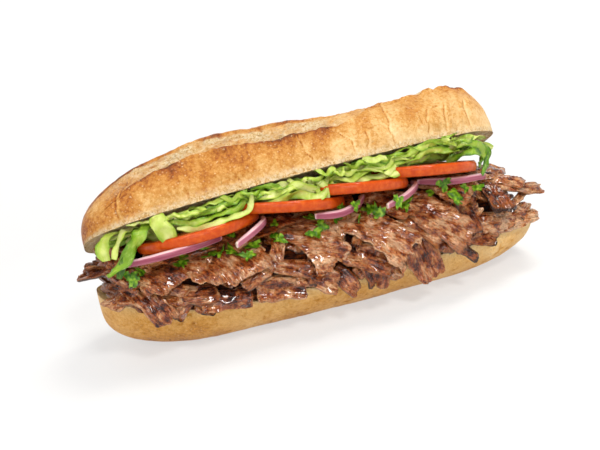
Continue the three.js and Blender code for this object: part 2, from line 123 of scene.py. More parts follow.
# sRGB hex to the linear colour that a shader wants
def linear(hexColour):
    channels = [int(hexColour[i:i + 2], 16) / 255 for i in (1, 3, 5)]
    return [c / 12.92 if c <= 0.04045 else ((c + 0.055) / 1.055) ** 2.4 for c in channels] + [1.0]


# a fixed draw from 0 to 1: the k-th draw of item i
def draw(i, k):
    value = math.sin(i * 12.9898 + k * 78.233) * 43758.5453
    return value - math.floor(value)


def spread(i, k, reach):
    return (2 * draw(i, k) - 1) * reach


def mix(a, b, share):
    return a + (b - a) * share


# 1 in the middle and 0 at both ends, blunter with a higher power
def taper(share, power):
    return np.maximum(0, 1 - np.abs(share) ** power) ** (1 / power)


# turns a circle's sine or cosine to that of a rounded square
def squared(value, power):
    return np.sign(value) * np.abs(value) ** (2 / power)


def bump(value, centre, reach):
    return np.exp(-(((value - centre) / reach) ** 2))


# reads a table of places and values, eased from row to row
def along(table, x):
    places = np.array([row[0] for row in table], float)
    values = np.array([row[1] for row in table], float)
    i = np.clip(np.searchsorted(places, x, side="right") - 1, 0, len(places) - 2)
    share = np.clip((x - places[i]) / (places[i + 1] - places[i]), 0, 1)
    return values[i] + (values[i + 1] - values[i]) * share * share * (3 - 2 * share)


# smooth noise from -1 to 1 with about one bump a unit, on whole arrays at once
def noise(x, y, z, seed=0):
    x, y, z = np.broadcast_arrays(x, y, z)
    cell = [np.floor(v) for v in (x, y, z)]
    part = [v - c for v, c in zip((x, y, z), cell)]
    part = [p * p * (3 - 2 * p) for p in part]
    total = np.zeros(x.shape)
    for corner in range(8):
        step = (corner & 1, (corner >> 1) & 1, (corner >> 2) & 1)
        value = np.sin((cell[0] + step[0]) * 127.1 + (cell[1] + step[1]) * 311.7
                       + (cell[2] + step[2]) * 74.7 + seed * 19.19) * 43758.5453
        weight = np.ones(x.shape)
        for p, s in zip(part, step):
            weight = weight * (p if s else 1 - p)
        total += (value - np.floor(value)) * weight
    return 2 * total - 1


def layeredNoise(x, y, z, seed=0, layers=3):
    total = 0
    for i in range(layers):
        total = total + noise(x * 2 ** i, y * 2 ** i, z * 2 ** i, seed + 7 * i) / 2 ** i
    return total


# how high the cut face of the bottom half lies
def cutHeight(x):
    share = np.clip(np.where(x < 0, x / bottomLoaf["left"], x / bottomLoaf["right"]), -1, 1)
    rise = np.where(x < 0, bottomLoaf["leftRise"], bottomLoaf["rightRise"])
    return bottomLoaf["cutHeight"] + rise * share ** 4


# the heap of meat: angle 0 is its ridge and 90 degrees its foot, beyond that it hangs over the crust
def heapPoint(x, angle, inset=0.0):
    end = taper(np.clip(np.where(x < 0, x / heap["left"], x / heap["right"]), -1, 1), heap["planPower"])
    upright = np.minimum(np.abs(angle), math.pi / 2)
    reach = np.where(angle > 0, heap["frontReach"], heap["backReach"]) * end - inset
    y = -np.sign(angle) * reach * squared(np.sin(upright), heap["power"])
    foot = cutHeight(x) + 1
    ridge = heap["crest"] - heap["endFall"] * np.abs(x / heap["endReach"]) ** 5
    for rise, place, breadth in heap["humps"]:
        ridge = ridge + rise * bump(x, place, breadth)
    top = ridge - heap["frontSlope"] * np.maximum(0, y - heap["slopeFrom"]) ** 2 - inset
    lift = squared(np.cos(upright), heap["power"])
    z = foot + (top - foot) * lift - (np.abs(angle) - upright) * heap["radius"]
    return np.stack(np.broadcast_arrays(x, y, z), -1)


def unit(vectors):
    return vectors / np.maximum(np.linalg.norm(vectors, axis=-1, keepdims=True), 1e-9)


def heapNormal(x, angle):
    roundStep = heapPoint(x, angle + 0.06) - heapPoint(x, angle - 0.06)
    longStep = heapPoint(x + 3, angle) - heapPoint(x - 3, angle)
    return unit(np.cross(roundStep, longStep))


topMatrix = Matrix.Translation(topLoaf["centre"]) @ (
    Matrix.Rotation(math.radians(topLoaf["yaw"]), 4, "Z")
    @ Matrix.Rotation(-math.radians(topLoaf["climb"]), 4, "Y")
    @ Matrix.Rotation(-math.radians(topLoaf["open"]), 4, "X")
)


def throughMatrix(matrix, points):
    turn = np.array(matrix.to_3x3())
    return points @ turn.T + np.array(matrix.translation)


# height of the top half's cut face over a place
def topUnderside(x, y):
    normal = np.array(topMatrix.to_3x3())[:, 2]
    cx, cy, cz = topLoaf["centre"]
    return cz - (normal[0] * (x - cx) + normal[1] * (y - cy)) / normal[2]


# quads of a grid of points, row by row: closed joins its last column to its first
def gridFaces(rows, columns, closed=False):
    i, j = np.meshgrid(np.arange(rows), np.arange(columns), indexing="ij")
    width = columns if closed else columns + 1
    nextJ = (j + 1) % width
    quads = np.stack([i * width + j, (i + 1) * width + j, (i + 1) * width + nextJ, i * width + nextJ], -1)
    return quads.reshape(-1, 4)


def meshPiece(name, points, faces, material, slot, nodes=(), values=None):
    mesh = bpy.data.meshes.new(name)
    mesh.from_pydata((np.asarray(points) * meshing["metres"]).tolist(), [],
                     [list(map(int, f)) for f in faces])
    for key, value in (values or {}).items():
        value = np.asarray(value, float)
        if value.ndim == 1:
            mesh.attributes.new(key, "FLOAT", "POINT").data.foreach_set("value", value.ravel())
        else:
            mesh.attributes.new(key, "FLOAT_VECTOR", "POINT").data.foreach_set("vector", value.ravel())
    mesh.polygons.foreach_set("use_smooth", [True] * len(mesh.polygons))
    mesh.validate()
    # the rings at the ends of a loaf shrink to a point
    welded = bmesh.new()
    welded.from_mesh(mesh)
    bmesh.ops.remove_doubles(welded, verts=welded.verts, dist=meshing["weldDistance"])
    welded.to_mesh(mesh)
    welded.free()
    mesh.update()
    mesh.set_sharp_from_angle(angle=math.radians(meshing["sharpAngle"]))
    mesh.materials.append(material)
    piece = bpy.data.objects.new(name, mesh)
    bpy.context.scene.collection.objects.link(piece)
    if slot:
        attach(piece, "root")
    if nodes:
        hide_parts(*nodes)
    return piece


# gathers many small closed sheets into one mesh
class Gather:
    def __init__(self):
        self.points, self.faces, self.values, self.count = [], [], {}, 0

    def add(self, points, faces, values):
        self.points.append(points)
        self.faces.extend((np.asarray(face) + self.count).tolist() for face in faces)
        for key, value in values.items():
            self.values.setdefault(key, []).append(value)
        self.count += len(points)

    def piece(self, name, material, slot, nodes=()):
        values = {key: np.concatenate(value) for key, value in self.values.items()}
        return meshPiece(name, np.concatenate(self.points), self.faces, material, slot, nodes, values)


# two like grids of points, joined round their rim
def sheetFaces(rows, columns):
    layer = (rows + 1) * (columns + 1)
    outer = gridFaces(rows, columns)
    inner = outer + layer
    rim = list(range(columns))
    rim += [i * (columns + 1) + columns for i in range(rows)]
    rim += [rows * (columns + 1) + j for j in range(columns, 0, -1)]
    rim += [i * (columns + 1) for i in range(rows, 0, -1)]
    edge = [[b, a, a + layer, b + layer] for a, b in zip(rim, rim[1:] + rim[:1])]
    return outer[:, ::-1].tolist() + inner.tolist() + edge


def addNode(tree, kind, settings=None, links=None):
    node = tree.nodes.new("ShaderNode" + kind)
    for key, value in (settings or {}).items():
        if key == "stops":
            ramp = node.color_ramp
            while len(ramp.elements) < len(value):
                ramp.elements.new(0.5)
            for element, (position, colour) in zip(ramp.elements, value):
                element.position = position
                element.color = linear(colour) if isinstance(colour, str) else (colour, colour, colour, 1)
        elif isinstance(key, str) and hasattr(node, key):
            setattr(node, key, value)
        else:
            node.inputs[key].default_value = value
    for key, source in (links or {}).items():
        tree.links.new(source, node.inputs[key])
    return node


def newMaterial(name, settings):
    material = bpy.data.materials.new(name)
    material.use_nodes = True
    tree = material.node_tree
    shader = tree.nodes["Principled BSDF"]
    for key, value in settings.items():
        shader.inputs[key].default_value = value
    return material, tree, shader


# sizes of the crust's grain in millimetres and its depths in metres
crustGrain = {"pore": 1.2, "poreDepth": 0.0012, "dimpleDepth": 0.0022, "thread": 1.6, "tornDepth": 0.003}


# baked wheat crust: brown where the oven caught it, pale dry crumb in the slash and on the cut
def bakedWheatCrust(name, look):
    material, tree, shader = newMaterial(name, {"IOR": 1.45, "Specular IOR Level": look["gloss"]})
    place = addNode(tree, "TexCoord").outputs["Object"]
    millimetres = addNode(tree, "VectorMath", {"operation": "SCALE", "Scale": 1000.0},
                          {0: place}).outputs[0]
    browning = addNode(tree, "Attribute", {"attribute_name": "browning"}).outputs["Fac"]
    crumb = addNode(tree, "Attribute", {"attribute_name": "crumb"}).outputs["Fac"]
    clouds = addNode(tree, "TexNoise", {"Scale": 1 / look["clouds"], "Detail": 5.0, "Roughness": 0.62},
                     {"Vector": millimetres})
    mottle = addNode(tree, "TexNoise", {"Scale": 1 / look["mottle"], "Detail": 5.0, "Roughness": 0.75},
                     {"Vector": millimetres})
    cloudy = addNode(tree, "Math",
                     {"operation": "MULTIPLY_ADD", 1: look["cloudShare"], 2: -look["cloudShare"] / 2},
                     {0: clouds.outputs["Fac"]})
    mottled = addNode(tree, "Math",
                      {"operation": "MULTIPLY_ADD", 1: look["mottleShare"], 2: -look["mottleShare"] / 2},
                      {0: mottle.outputs["Fac"]})
    baked = addNode(tree, "Math", {"operation": "ADD"}, {0: browning, 1: cloudy.outputs[0]})
    baked = addNode(tree, "Math", {"operation": "ADD", "use_clamp": True},
                    {0: baked.outputs[0], 1: mottled.outputs[0]})
    crust = addNode(tree, "ValToRGB", {"stops": look["crust"]}, {0: baked.outputs[0]})
    # pin-head blisters about 2 mm apart, paler than the crust round them
    blisters = addNode(tree, "TexVoronoi", {"Scale": 1 / look["blister"], "Randomness": 1.0},
                       {"Vector": millimetres})
    pale = addNode(tree, "MapRange",
                   {"From Min": 0.12, "From Max": 0.36, "To Min": look["blisterShare"], "To Max": 0.0},
                   {"Value": blisters.outputs["Distance"]})
    patches = addNode(tree, "MapRange", {"From Min": 0.46, "From Max": 0.6},
                      {"Value": mottle.outputs["Fac"]})
    # they show in patches, like a light dusting of flour
    paleHere = addNode(tree, "Math", {"operation": "MULTIPLY"}, {0: pale.outputs[0], 1: patches.outputs[0]})
    speckled = addNode(tree, "Mix", {"data_type": "RGBA", 7: linear(look["crust"][0][1])},
                       {0: paleHere.outputs[0], 6: crust.outputs[0]})
    threads = addNode(tree, "TexNoise",
                      {"Scale": 1 / crustGrain["thread"], "Detail": 6.0, "Roughness": 0.7,
                       "Distortion": 0.6},
                      {"Vector": millimetres})
    crumbColour = addNode(tree, "ValToRGB", {"stops": look["crumb"]}, {0: threads.outputs["Fac"]})
    colour = addNode(tree, "Mix", {"data_type": "RGBA"},
                     {0: crumb, 6: speckled.outputs[2], 7: crumbColour.outputs[0]})
    tree.links.new(colour.outputs[2], shader.inputs["Base Color"])
    rough = addNode(tree, "MapRange", {"To Min": look["roughness"], "To Max": 0.92}, {"Value": crumb})
    tree.links.new(rough.outputs[0], shader.inputs["Roughness"])
    # skin: pores of 1.2 mm over soft dimples of 2 mm, and torn threads of 1.6 mm in the crumb
    pores = addNode(tree, "TexNoise", {"Scale": 1 / crustGrain["pore"], "Detail": 4.0, "Roughness": 0.65},
                    {"Vector": millimetres})
    porous = addNode(tree, "Bump", {"Strength": 0.9, "Distance": crustGrain["poreDepth"]},
                     {"Height": pores.outputs["Fac"]})
    dimpled = addNode(tree, "Bump", {"Strength": 0.8, "Distance": crustGrain["dimpleDepth"]},
                      {"Height": mottle.outputs["Fac"], "Normal": porous.outputs[0]})
    pits = addNode(tree, "Math", {"operation": "MULTIPLY"}, {0: threads.outputs["Fac"], 1: crumb})
    torn = addNode(tree, "Bump", {"Strength": 1.0, "Distance": crustGrain["tornDepth"]},
                   {"Height": pits.outputs[0], "Normal": dimpled.outputs[0]})
    tree.links.new(torn.outputs[0], shader.inputs["Normal"])
    return material


crustTop = bakedWheatCrust("bakedCrustTop", {
    "gloss": 0.35,
    "roughness": 0.44,
    "clouds": 13.0,
    "cloudShare": 0.6,
    "mottle": 2.0,
    "mottleShare": 1.1,
    "blister": 1.9,
    "blisterShare": 0.75,
    "crust": [(0.0, "#F0D09A"), (0.22, "#E4B87A"), (0.4, "#D1994E"), (0.56, "#C17C2C"), (0.76, "#994F16"),
              (1.0, "#5E2C0C")],
    "crumb": [(0.36, "#BC8646"), (0.43, "#E3B978"), (0.52, "#F8DDAC"), (0.66, "#FDEFD2")],
})
crustBottom = bakedWheatCrust("bakedCrustBottom", {
    "gloss": 0.3,
    "roughness": 0.48,
    "clouds": 18.0,
    "cloudShare": 0.6,
    "mottle": 2.2,
    "mottleShare": 0.85,
    "blister": 2.1,
    "blisterShare": 0.75,
    "crust": [(0.0, "#F3CE92"), (0.26, "#EAB86E"), (0.5, "#D2933B"), (0.75, "#AB6A22"), (1.0, "#6F3D14")],
    "crumb": [(0.34, "#B98A5A"), (0.46, "#DDB585"), (0.56, "#ECD2AA"), (0.7, "#F4E2C3")],
})


# spit-roasted meat: fibres along the slice, wet fat sheen on top, caramel edges and charred tips
def roastMeat(name, look):
    material, tree, shader = newMaterial(name, {
        "IOR": 1.45,
        "Specular IOR Level": look["gloss"],
        "Coat Weight": look["fat"],
        "Coat Roughness": 0.13,
        "Coat IOR": 1.45,
        "Subsurface Weight": 0.08,
        "Subsurface Radius": (0.9, 0.35, 0.2),
        "Subsurface Scale": 0.002,
    })
    grain = addNode(tree, "Attribute", {"attribute_name": "grain"}).outputs["Vector"]
    char = addNode(tree, "Attribute", {"attribute_name": "char"}).outputs["Fac"]
    tone = addNode(tree, "Attribute", {"attribute_name": "tone"}).outputs["Fac"]
    # bundles of fibre 1.8 mm across and about 7 mm long
    stretched = addNode(tree, "Mapping", {"Scale": (0.14, 0.55, 1.0)}, {"Vector": grain})
    bundles = addNode(tree, "TexNoise", {"Scale": 1.0, "Detail": 4.0, "Roughness": 0.6, "Distortion": 0.9},
                      {"Vector": stretched.outputs[0]})
    # single fibres 0.7 mm across, about twice as coarse as real ones so that they show
    fine = addNode(tree, "Mapping", {"Scale": (0.6, 1.5, 1.0)}, {"Vector": grain})
    threads = addNode(tree, "TexNoise", {"Scale": 1.0, "Detail": 3.0, "Roughness": 0.6},
                      {"Vector": fine.outputs[0]})
    blots = addNode(tree, "TexNoise", {"Scale": 0.16, "Detail": 3.0, "Roughness": 0.55}, {"Vector": grain})
    # the tone follows the height of the bundles and fibres, so their grooves are darker: painted shade; the
    # blots vary the tone at random
    lean = addNode(tree, "Math", {"operation": "MULTIPLY_ADD", 1: look["bundles"], 2: look["shift"]},
                   {0: bundles.outputs["Fac"]})
    stranded = addNode(tree, "Math", {"operation": "MULTIPLY_ADD", 1: look["threads"]},
                       {0: threads.outputs["Fac"], 2: lean.outputs[0]})
    blotted = addNode(tree, "Math", {"operation": "MULTIPLY_ADD", 1: look["blots"]},
                      {0: blots.outputs["Fac"], 2: stranded.outputs[0]})
    toned = addNode(tree, "Math", {"operation": "ADD"}, {0: blotted.outputs[0], 1: tone})
    shade = addNode(tree, "Math", {"operation": "SUBTRACT", 1: 0.12, "use_clamp": True},
                    {0: toned.outputs[0]})
    flesh = addNode(tree, "ValToRGB", {"stops": look["flesh"]}, {0: shade.outputs[0]})
    caught = addNode(tree, "Math", {"operation": "MULTIPLY_ADD", 1: 0.5, 2: -0.25},
                     {0: blots.outputs["Fac"]})
    edge = addNode(tree, "Math", {"operation": "ADD", "use_clamp": True}, {0: char, 1: caught.outputs[0]})
    caramel = addNode(tree, "MapRange", {"From Min": 0.3, "From Max": 0.55, "To Max": 0.75},
                      {"Value": edge.outputs[0]})
    golden = addNode(tree, "Mix", {"data_type": "RGBA", 7: linear(look["caramel"])},
                     {0: caramel.outputs[0], 6: flesh.outputs[0]})
    burnt = addNode(tree, "MapRange", {"From Min": 0.66, "From Max": 0.95, "To Max": 0.92},
                    {"Value": edge.outputs[0]})
    colour = addNode(tree, "Mix", {"data_type": "RGBA", 7: linear(look["burnt"])},
                     {0: burnt.outputs[0], 6: golden.outputs[2]})
    tree.links.new(colour.outputs[2], shader.inputs["Base Color"])
    wet = addNode(tree, "MapRange",
                  {"From Min": 0.35, "From Max": 0.65, "To Min": look["wet"], "To Max": look["dry"]},
                  {"Value": blots.outputs["Fac"]})
    tree.links.new(wet.outputs[0], shader.inputs["Roughness"])
    ridged = addNode(tree, "Bump", {"Strength": 1.0, "Distance": look["bundleHeight"]},
                     {"Height": bundles.outputs["Fac"]})
    threaded = addNode(tree, "Bump", {"Strength": 1.0, "Distance": look["threadHeight"]},
                       {"Height": threads.outputs["Fac"], "Normal": ridged.outputs[0]})
    tree.links.new(threaded.outputs[0], shader.inputs["Normal"])
    return material


meatLook = {
    "gloss": 0.42,
    "fat": 0.65,
    "wet": 0.18,
    "dry": 0.42,
    # how strongly bundles, single fibres and blots change the tone, and what centres it; the bundles and
    # fibres darken their own grooves as painted shade
    "bundles": 1.4,
    "threads": 0.7,
    "blots": 1.8,
    "shift": -1.19,
    # metres
    "bundleHeight": 0.007,
    "threadHeight": 0.0012,
    "flesh": [(0.0, "#160402"), (0.25, "#3E1303"), (0.42, "#6E2A08"), (0.6, "#9C4B18"), (0.8, "#C27B45"),
              (1.0, "#DDAB80")],
    "caramel": "#9A5119",
    "burnt": "#220D05",
}
meatMaterial = roastMeat("roastMeat", meatLook)
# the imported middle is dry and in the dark
packedMeat = roastMeat("packedMeat", {**meatLook, "gloss": 0.15, "fat": 0.0, "wet": 0.7, "dry": 0.9})


# beefsteak tomato: thin glossy skin, wet wall flesh, gel and pips in the chambers
def cutTomato(name, look):
    material, tree, shader = newMaterial(name, {
        "IOR": 1.36,
        "Specular IOR Level": 0.4,
        "Roughness": 0.18,
        "Subsurface Weight": 0.12,
        "Subsurface Radius": (1.0, 0.25, 0.12),
        "Subsurface Scale": 0.003,
    })
    place = addNode(tree, "TexCoord").outputs["Object"]
    millimetres = addNode(tree, "VectorMath", {"operation": "SCALE", "Scale": 1000.0},
                          {0: place}).outputs[0]
    skin = addNode(tree, "Attribute", {"attribute_name": "skin"}).outputs["Fac"]
    gel = addNode(tree, "Attribute", {"attribute_name": "gel"}).outputs["Fac"]
    pip = addNode(tree, "Attribute", {"attribute_name": "pip"}).outputs["Fac"]
    cells = addNode(tree, "TexNoise", {"Scale": 0.35, "Detail": 4.0, "Roughness": 0.6},
                    {"Vector": millimetres})
    wall = addNode(tree, "ValToRGB", {"stops": look["wall"]}, {0: cells.outputs["Fac"]})
    skinned = addNode(tree, "ValToRGB", {"stops": look["skin"]}, {0: cells.outputs["Fac"]})
    chamber = addNode(tree, "ValToRGB", {"stops": look["gel"]}, {0: cells.outputs["Fac"]})
    inside = addNode(tree, "Mix", {"data_type": "RGBA"},
                     {0: gel, 6: wall.outputs[0], 7: chamber.outputs[0]})
    seeded = addNode(tree, "Mix", {"data_type": "RGBA", 7: linear(look["pip"])},
                     {0: pip, 6: inside.outputs[2]})
    colour = addNode(tree, "Mix", {"data_type": "RGBA"},
                     {0: skin, 6: seeded.outputs[2], 7: skinned.outputs[0]})
    tree.links.new(colour.outputs[2], shader.inputs["Base Color"])
    grainy = addNode(tree, "TexNoise", {"Scale": 1.4, "Detail": 2.0}, {"Vector": millimetres})
    fleshy = addNode(tree, "Bump", {"Strength": 0.3, "Distance": 0.0003}, {"Height": grainy.outputs["Fac"]})
    tree.links.new(fleshy.outputs[0], shader.inputs["Normal"])
    return material


tomatoMaterial = cutTomato("cutTomato", {
    "wall": [(0.3, "#C2481A"), (0.55, "#CF6230"), (0.75, "#DA8350")],
    "skin": [(0.3, "#A73806"), (0.5, "#B4440A"), (0.7, "#C05618")],
    "gel": [(0.3, "#A33A12"), (0.55, "#B9551F"), (0.75, "#CE7A3A")],
    "pip": "#E3C07A",
})


# red onion: thin purple skin on the outside of each layer, crisp and nearly clear within
def redOnion(name, look):
    material, tree, shader = newMaterial(name, {
        "IOR": 1.36,
        "Specular IOR Level": 0.5,
        "Roughness": 0.25,
        "Subsurface Weight": 0.3,
        "Subsurface Radius": (0.8, 0.6, 0.7),
        "Subsurface Scale": 0.003,
    })
    layer = addNode(tree, "Attribute", {"attribute_name": "layer"}).outputs["Fac"]
    grain = addNode(tree, "Attribute", {"attribute_name": "grain"}).outputs["Vector"]
    drawn = addNode(tree, "Mapping", {"Scale": (0.06, 1.3, 1.3)}, {"Vector": grain})
    veins = addNode(tree, "TexNoise", {"Scale": 1.0, "Detail": 3.0, "Roughness": 0.55},
                    {"Vector": drawn.outputs[0]})
    shifted = addNode(tree, "Math", {"operation": "MULTIPLY_ADD", 1: 0.5, 2: -0.25},
                      {0: veins.outputs["Fac"]})
    stain = addNode(tree, "Math", {"operation": "ADD", "use_clamp": True},
                    {0: layer, 1: shifted.outputs[0]})
    colour = addNode(tree, "ValToRGB", {"stops": look["stain"]}, {0: stain.outputs[0]})
    tree.links.new(colour.outputs[0], shader.inputs["Base Color"])
    ribbed = addNode(tree, "Bump", {"Strength": 0.4, "Distance": 0.0003}, {"Height": veins.outputs["Fac"]})
    tree.links.new(ribbed.outputs[0], shader.inputs["Normal"])
    return material


onionMaterial = redOnion("redOnion", {
    "stain": [(0.0, "#E0CFC0"), (0.22, "#CFA6AE"), (0.45, "#B2707F"), (0.7, "#8A3F52"), (1.0, "#5F203A")],
})


# iceberg and leaf lettuce, shredded: watery pale ribs, bright leaf, a soft light through it
def shreddedLettuce(name, look):
    material, tree, shader = newMaterial(name, {
        "IOR": 1.4,
        "Specular IOR Level": 0.4,
        "Roughness": 0.3,
        "Subsurface Weight": 0.1,
        "Subsurface Radius": (0.6, 0.9, 0.2),
        "Subsurface Scale": 0.001,
    })
    green = addNode(tree, "Attribute", {"attribute_name": "green"}).outputs["Fac"]
    grain = addNode(tree, "Attribute", {"attribute_name": "grain"}).outputs["Vector"]
    patches = addNode(tree, "TexNoise", {"Scale": 0.18, "Detail": 4.0, "Roughness": 0.6}, {"Vector": grain})
    shifted = addNode(tree, "Math", {"operation": "MULTIPLY_ADD", 1: 0.7, 2: -0.35},
                      {0: patches.outputs["Fac"]})
    leaf = addNode(tree, "Math", {"operation": "ADD", "use_clamp": True}, {0: green, 1: shifted.outputs[0]})
    blade = addNode(tree, "ValToRGB", {"stops": look["leaf"]}, {0: leaf.outputs[0]})
    # branching veins about 2 mm apart, paler than the leaf
    slanted = addNode(tree, "Mapping", {"Scale": (0.22, 0.5, 1.0), "Rotation": (0, 0, 0.5)},
                      {"Vector": grain})
    netting = addNode(tree, "TexNoise", {"Scale": 1.0, "Detail": 4.0, "Roughness": 0.6, "Distortion": 1.2},
                      {"Vector": slanted.outputs[0]})
    vein = addNode(tree, "MapRange", {"From Min": 0.55, "From Max": 0.68, "To Min": 0.0, "To Max": 0.55},
                   {"Value": netting.outputs["Fac"]})
    colour = addNode(tree, "Mix", {"data_type": "RGBA", 7: linear(look["vein"])},
                     {0: vein.outputs[0], 6: blade.outputs[0]})
    tree.links.new(colour.outputs[2], shader.inputs["Base Color"])
    puckered = addNode(tree, "Bump", {"Strength": 0.5, "Distance": 0.0006},
                       {"Height": patches.outputs["Fac"]})
    veined = addNode(tree, "Bump", {"Strength": 0.6, "Distance": 0.0008},
                     {"Height": netting.outputs["Fac"], "Normal": puckered.outputs[0]})
    tree.links.new(veined.outputs[0], shader.inputs["Normal"])
    return material


lettuceMaterial = shreddedLettuce("shreddedLettuce", {
    "leaf": [(0.0, "#BEC47A"), (0.25, "#9FAF46"), (0.5, "#779723"), (0.75, "#4F770C"), (1.0, "#2F5205")],
    "vein": "#AEBC60",
})


# flat-leaf parsley, chopped: deep green upper face, paler along the veins
def choppedParsley(name, look):
    material, tree, shader = newMaterial(name, {
        "IOR": 1.4,
        "Specular IOR Level": 0.4,
        "Roughness": 0.4,
        "Subsurface Weight": 0.15,
        "Subsurface Radius": (0.4, 0.8, 0.1),
        "Subsurface Scale": 0.001,
    })
    grain = addNode(tree, "Attribute", {"attribute_name": "grain"}).outputs["Vector"]
    patches = addNode(tree, "TexNoise", {"Scale": 0.45, "Detail": 3.0}, {"Vector": grain})
    colour = addNode(tree, "ValToRGB", {"stops": look["leaf"]}, {0: patches.outputs["Fac"]})
    tree.links.new(colour.outputs[0], shader.inputs["Base Color"])
    veined = addNode(tree, "Bump", {"Strength": 0.5, "Distance": 0.0003},
                     {"Height": patches.outputs["Fac"]})
    tree.links.new(veined.outputs[0], shader.inputs["Normal"])
    return material


parsleyMaterial = choppedParsley("choppedParsley", {
    "leaf": [(0.36, "#2B5204"), (0.5, "#4F7D0A"), (0.64, "#82A427")],
})
print("materials made")


# how far the crust stands out at the slash, in front of it, in it and behind it
def slashRelief(share, around):
    behind = (around - along(slash["course"], share)) / slash["width"]
    ends = np.clip((1 - share) / 0.15, 0, 1) * np.clip((share + 0.93) / 0.3, 0, 1)
    ends = ends * (1 - 0.85 * bump(share, slash["bridge"], 0.1))
    ahead = slash["lipRise"] * (0.5 * bump(behind, 0, 0.3) + 0.5 * bump(behind, 0, 0.08))
    inside = -slash["floorDrop"] * np.sin(math.pi * np.clip(behind, 0, 1)) ** 0.6
    inside = inside + slash["lipRise"] * bump(behind, 0, 0.05)
    after = slash["backRise"] * bump(behind, 1, 0.35)
    return ends * np.where(behind <= 0, ahead, np.where(behind < 1, inside, after)), behind, ends


# thin cracks in the top crust: share along the half loaf and share of the way over it, from top to bottom
crustCracks = {
    "depth": 0.6,
    "width": 0.5,
    "halfLength": 127,
    "runs": [
        [(-0.05, 0.15), (-0.033, 0.133), (-0.023, 0.053), (0.012, 0.0)],
        [(0.11, 0.14), (0.15, 0.115), (0.198, 0.057), (0.196, 0.012)],
        [(0.275, 0.085), (0.272, 0.06), (0.258, 0.017), (0.276, 0.0)],
        [(0.43, 0.3), (0.413, 0.266), (0.393, 0.099), (0.38, 0.053), (0.394, 0.008)],
        [(0.6, 0.12), (0.581, 0.065), (0.568, 0.008)],
        [(0.7, 0.13), (0.68, 0.07), (0.666, 0.006)],
        [(0.83, 0.16), (0.814, 0.101), (0.807, 0.039), (0.813, 0.004)],
        [(-0.765, 0.218), (-0.813, 0.131), (-0.903, 0.099)],
        [(-0.82, 0.16), (-0.834, 0.138), (-0.841, 0.053), (-0.845, 0.01)],
        [(-0.548, 0.03), (-0.555, 0.0)],
        [(-0.337, 0.03), (-0.321, 0.0)],
    ],
}


def crackRelief(share, around, px, py):
    relief = np.zeros(share.shape)
    dark = np.zeros(share.shape)
    for i, run in enumerate(crustCracks["runs"]):
        places = np.array(run[::-1], float)
        middle = np.interp(around, places[:, 1], places[:, 0])
        away = (share - middle) * crustCracks["halfLength"] + 0.8 * noise(py / 4, 0 * py, 0, 140 + i)
        tips = np.clip((around - places[0, 1] + 0.012) / 0.02, 0, 1)
        tips = tips * np.clip((places[-1, 1] + 0.012 - around) / 0.02, 0, 1)
        relief = relief + tips * (-crustCracks["depth"] * bump(away, 0, crustCracks["width"])
                                  + 0.3 * bump(away, -1.4, 1.2) - 0.15 * bump(away, 1.6, 1.2))
        # painted shade in the crack, and paler beside it
        dark = dark + tips * (0.3 * bump(away, 0.1, 0.45) - 0.15 * bump(away, 1.3, 0.9))
    return relief, dark


# heights in millimetres of what the crust carries
topRelief = {
    "swell": 0.5,
    "dents": 0.6,
    "wrinkles": 0.35,
    "stretchMarks": 0.3,
    "pits": 0.7,
    "tornThreads": 0.8,
    "tornCrumbs": 0.65,
    "lipWave": 1.0,
    "cutCrumbs": 0.8,
    "cutRise": 1.5,
}
bottomRelief = {
    "swell": 0.5,
    "dents": 0.7,
    "wrinkles": 0.34,
    "pits": 0.8,
    "creases": 0.9,
    "rimWaver": 0.9,
    "rimNotches": 0.5,
    "cutCrumbs": 0.7,
}
# how brown the crust is, 0 pale to 1 burnt, and what adds to that or takes from it; some entries are
# painted shade and painted light, as marked
topBrowning = {
    "plain": 0.43,
    "paleToRight": 0.1,
    "paleFoot": 0.1,
    "lip": 0.36,
    "aheadOfLip": 0.08,
    "streaksAhead": 0.12,
    "bridge": 0.1,
    "backEdge": 0.45,
    "freckles": 0.09,
    "stretchMarks": 0.1,
    "behind": 0.2,
    # painted shade in the pits
    "pits": 0.15,
    "cut": 0.35,
}
bottomBrowning = {
    "plain": 0.36,
    "paleToRight": 0.1,
    # darker underneath: partly a browner baked sole, partly painted shade
    "bakedAndShadedUnderneath": 0.35,
    "clouds": 0.1,
    # painted light: the ends are paler against the meat's shadow
    "paintedLightEnds": 0.12,
    "paleRims": 0.2,
    # painted shade in the pits
    "pits": 0.25,
    "cut": 0.1,
}


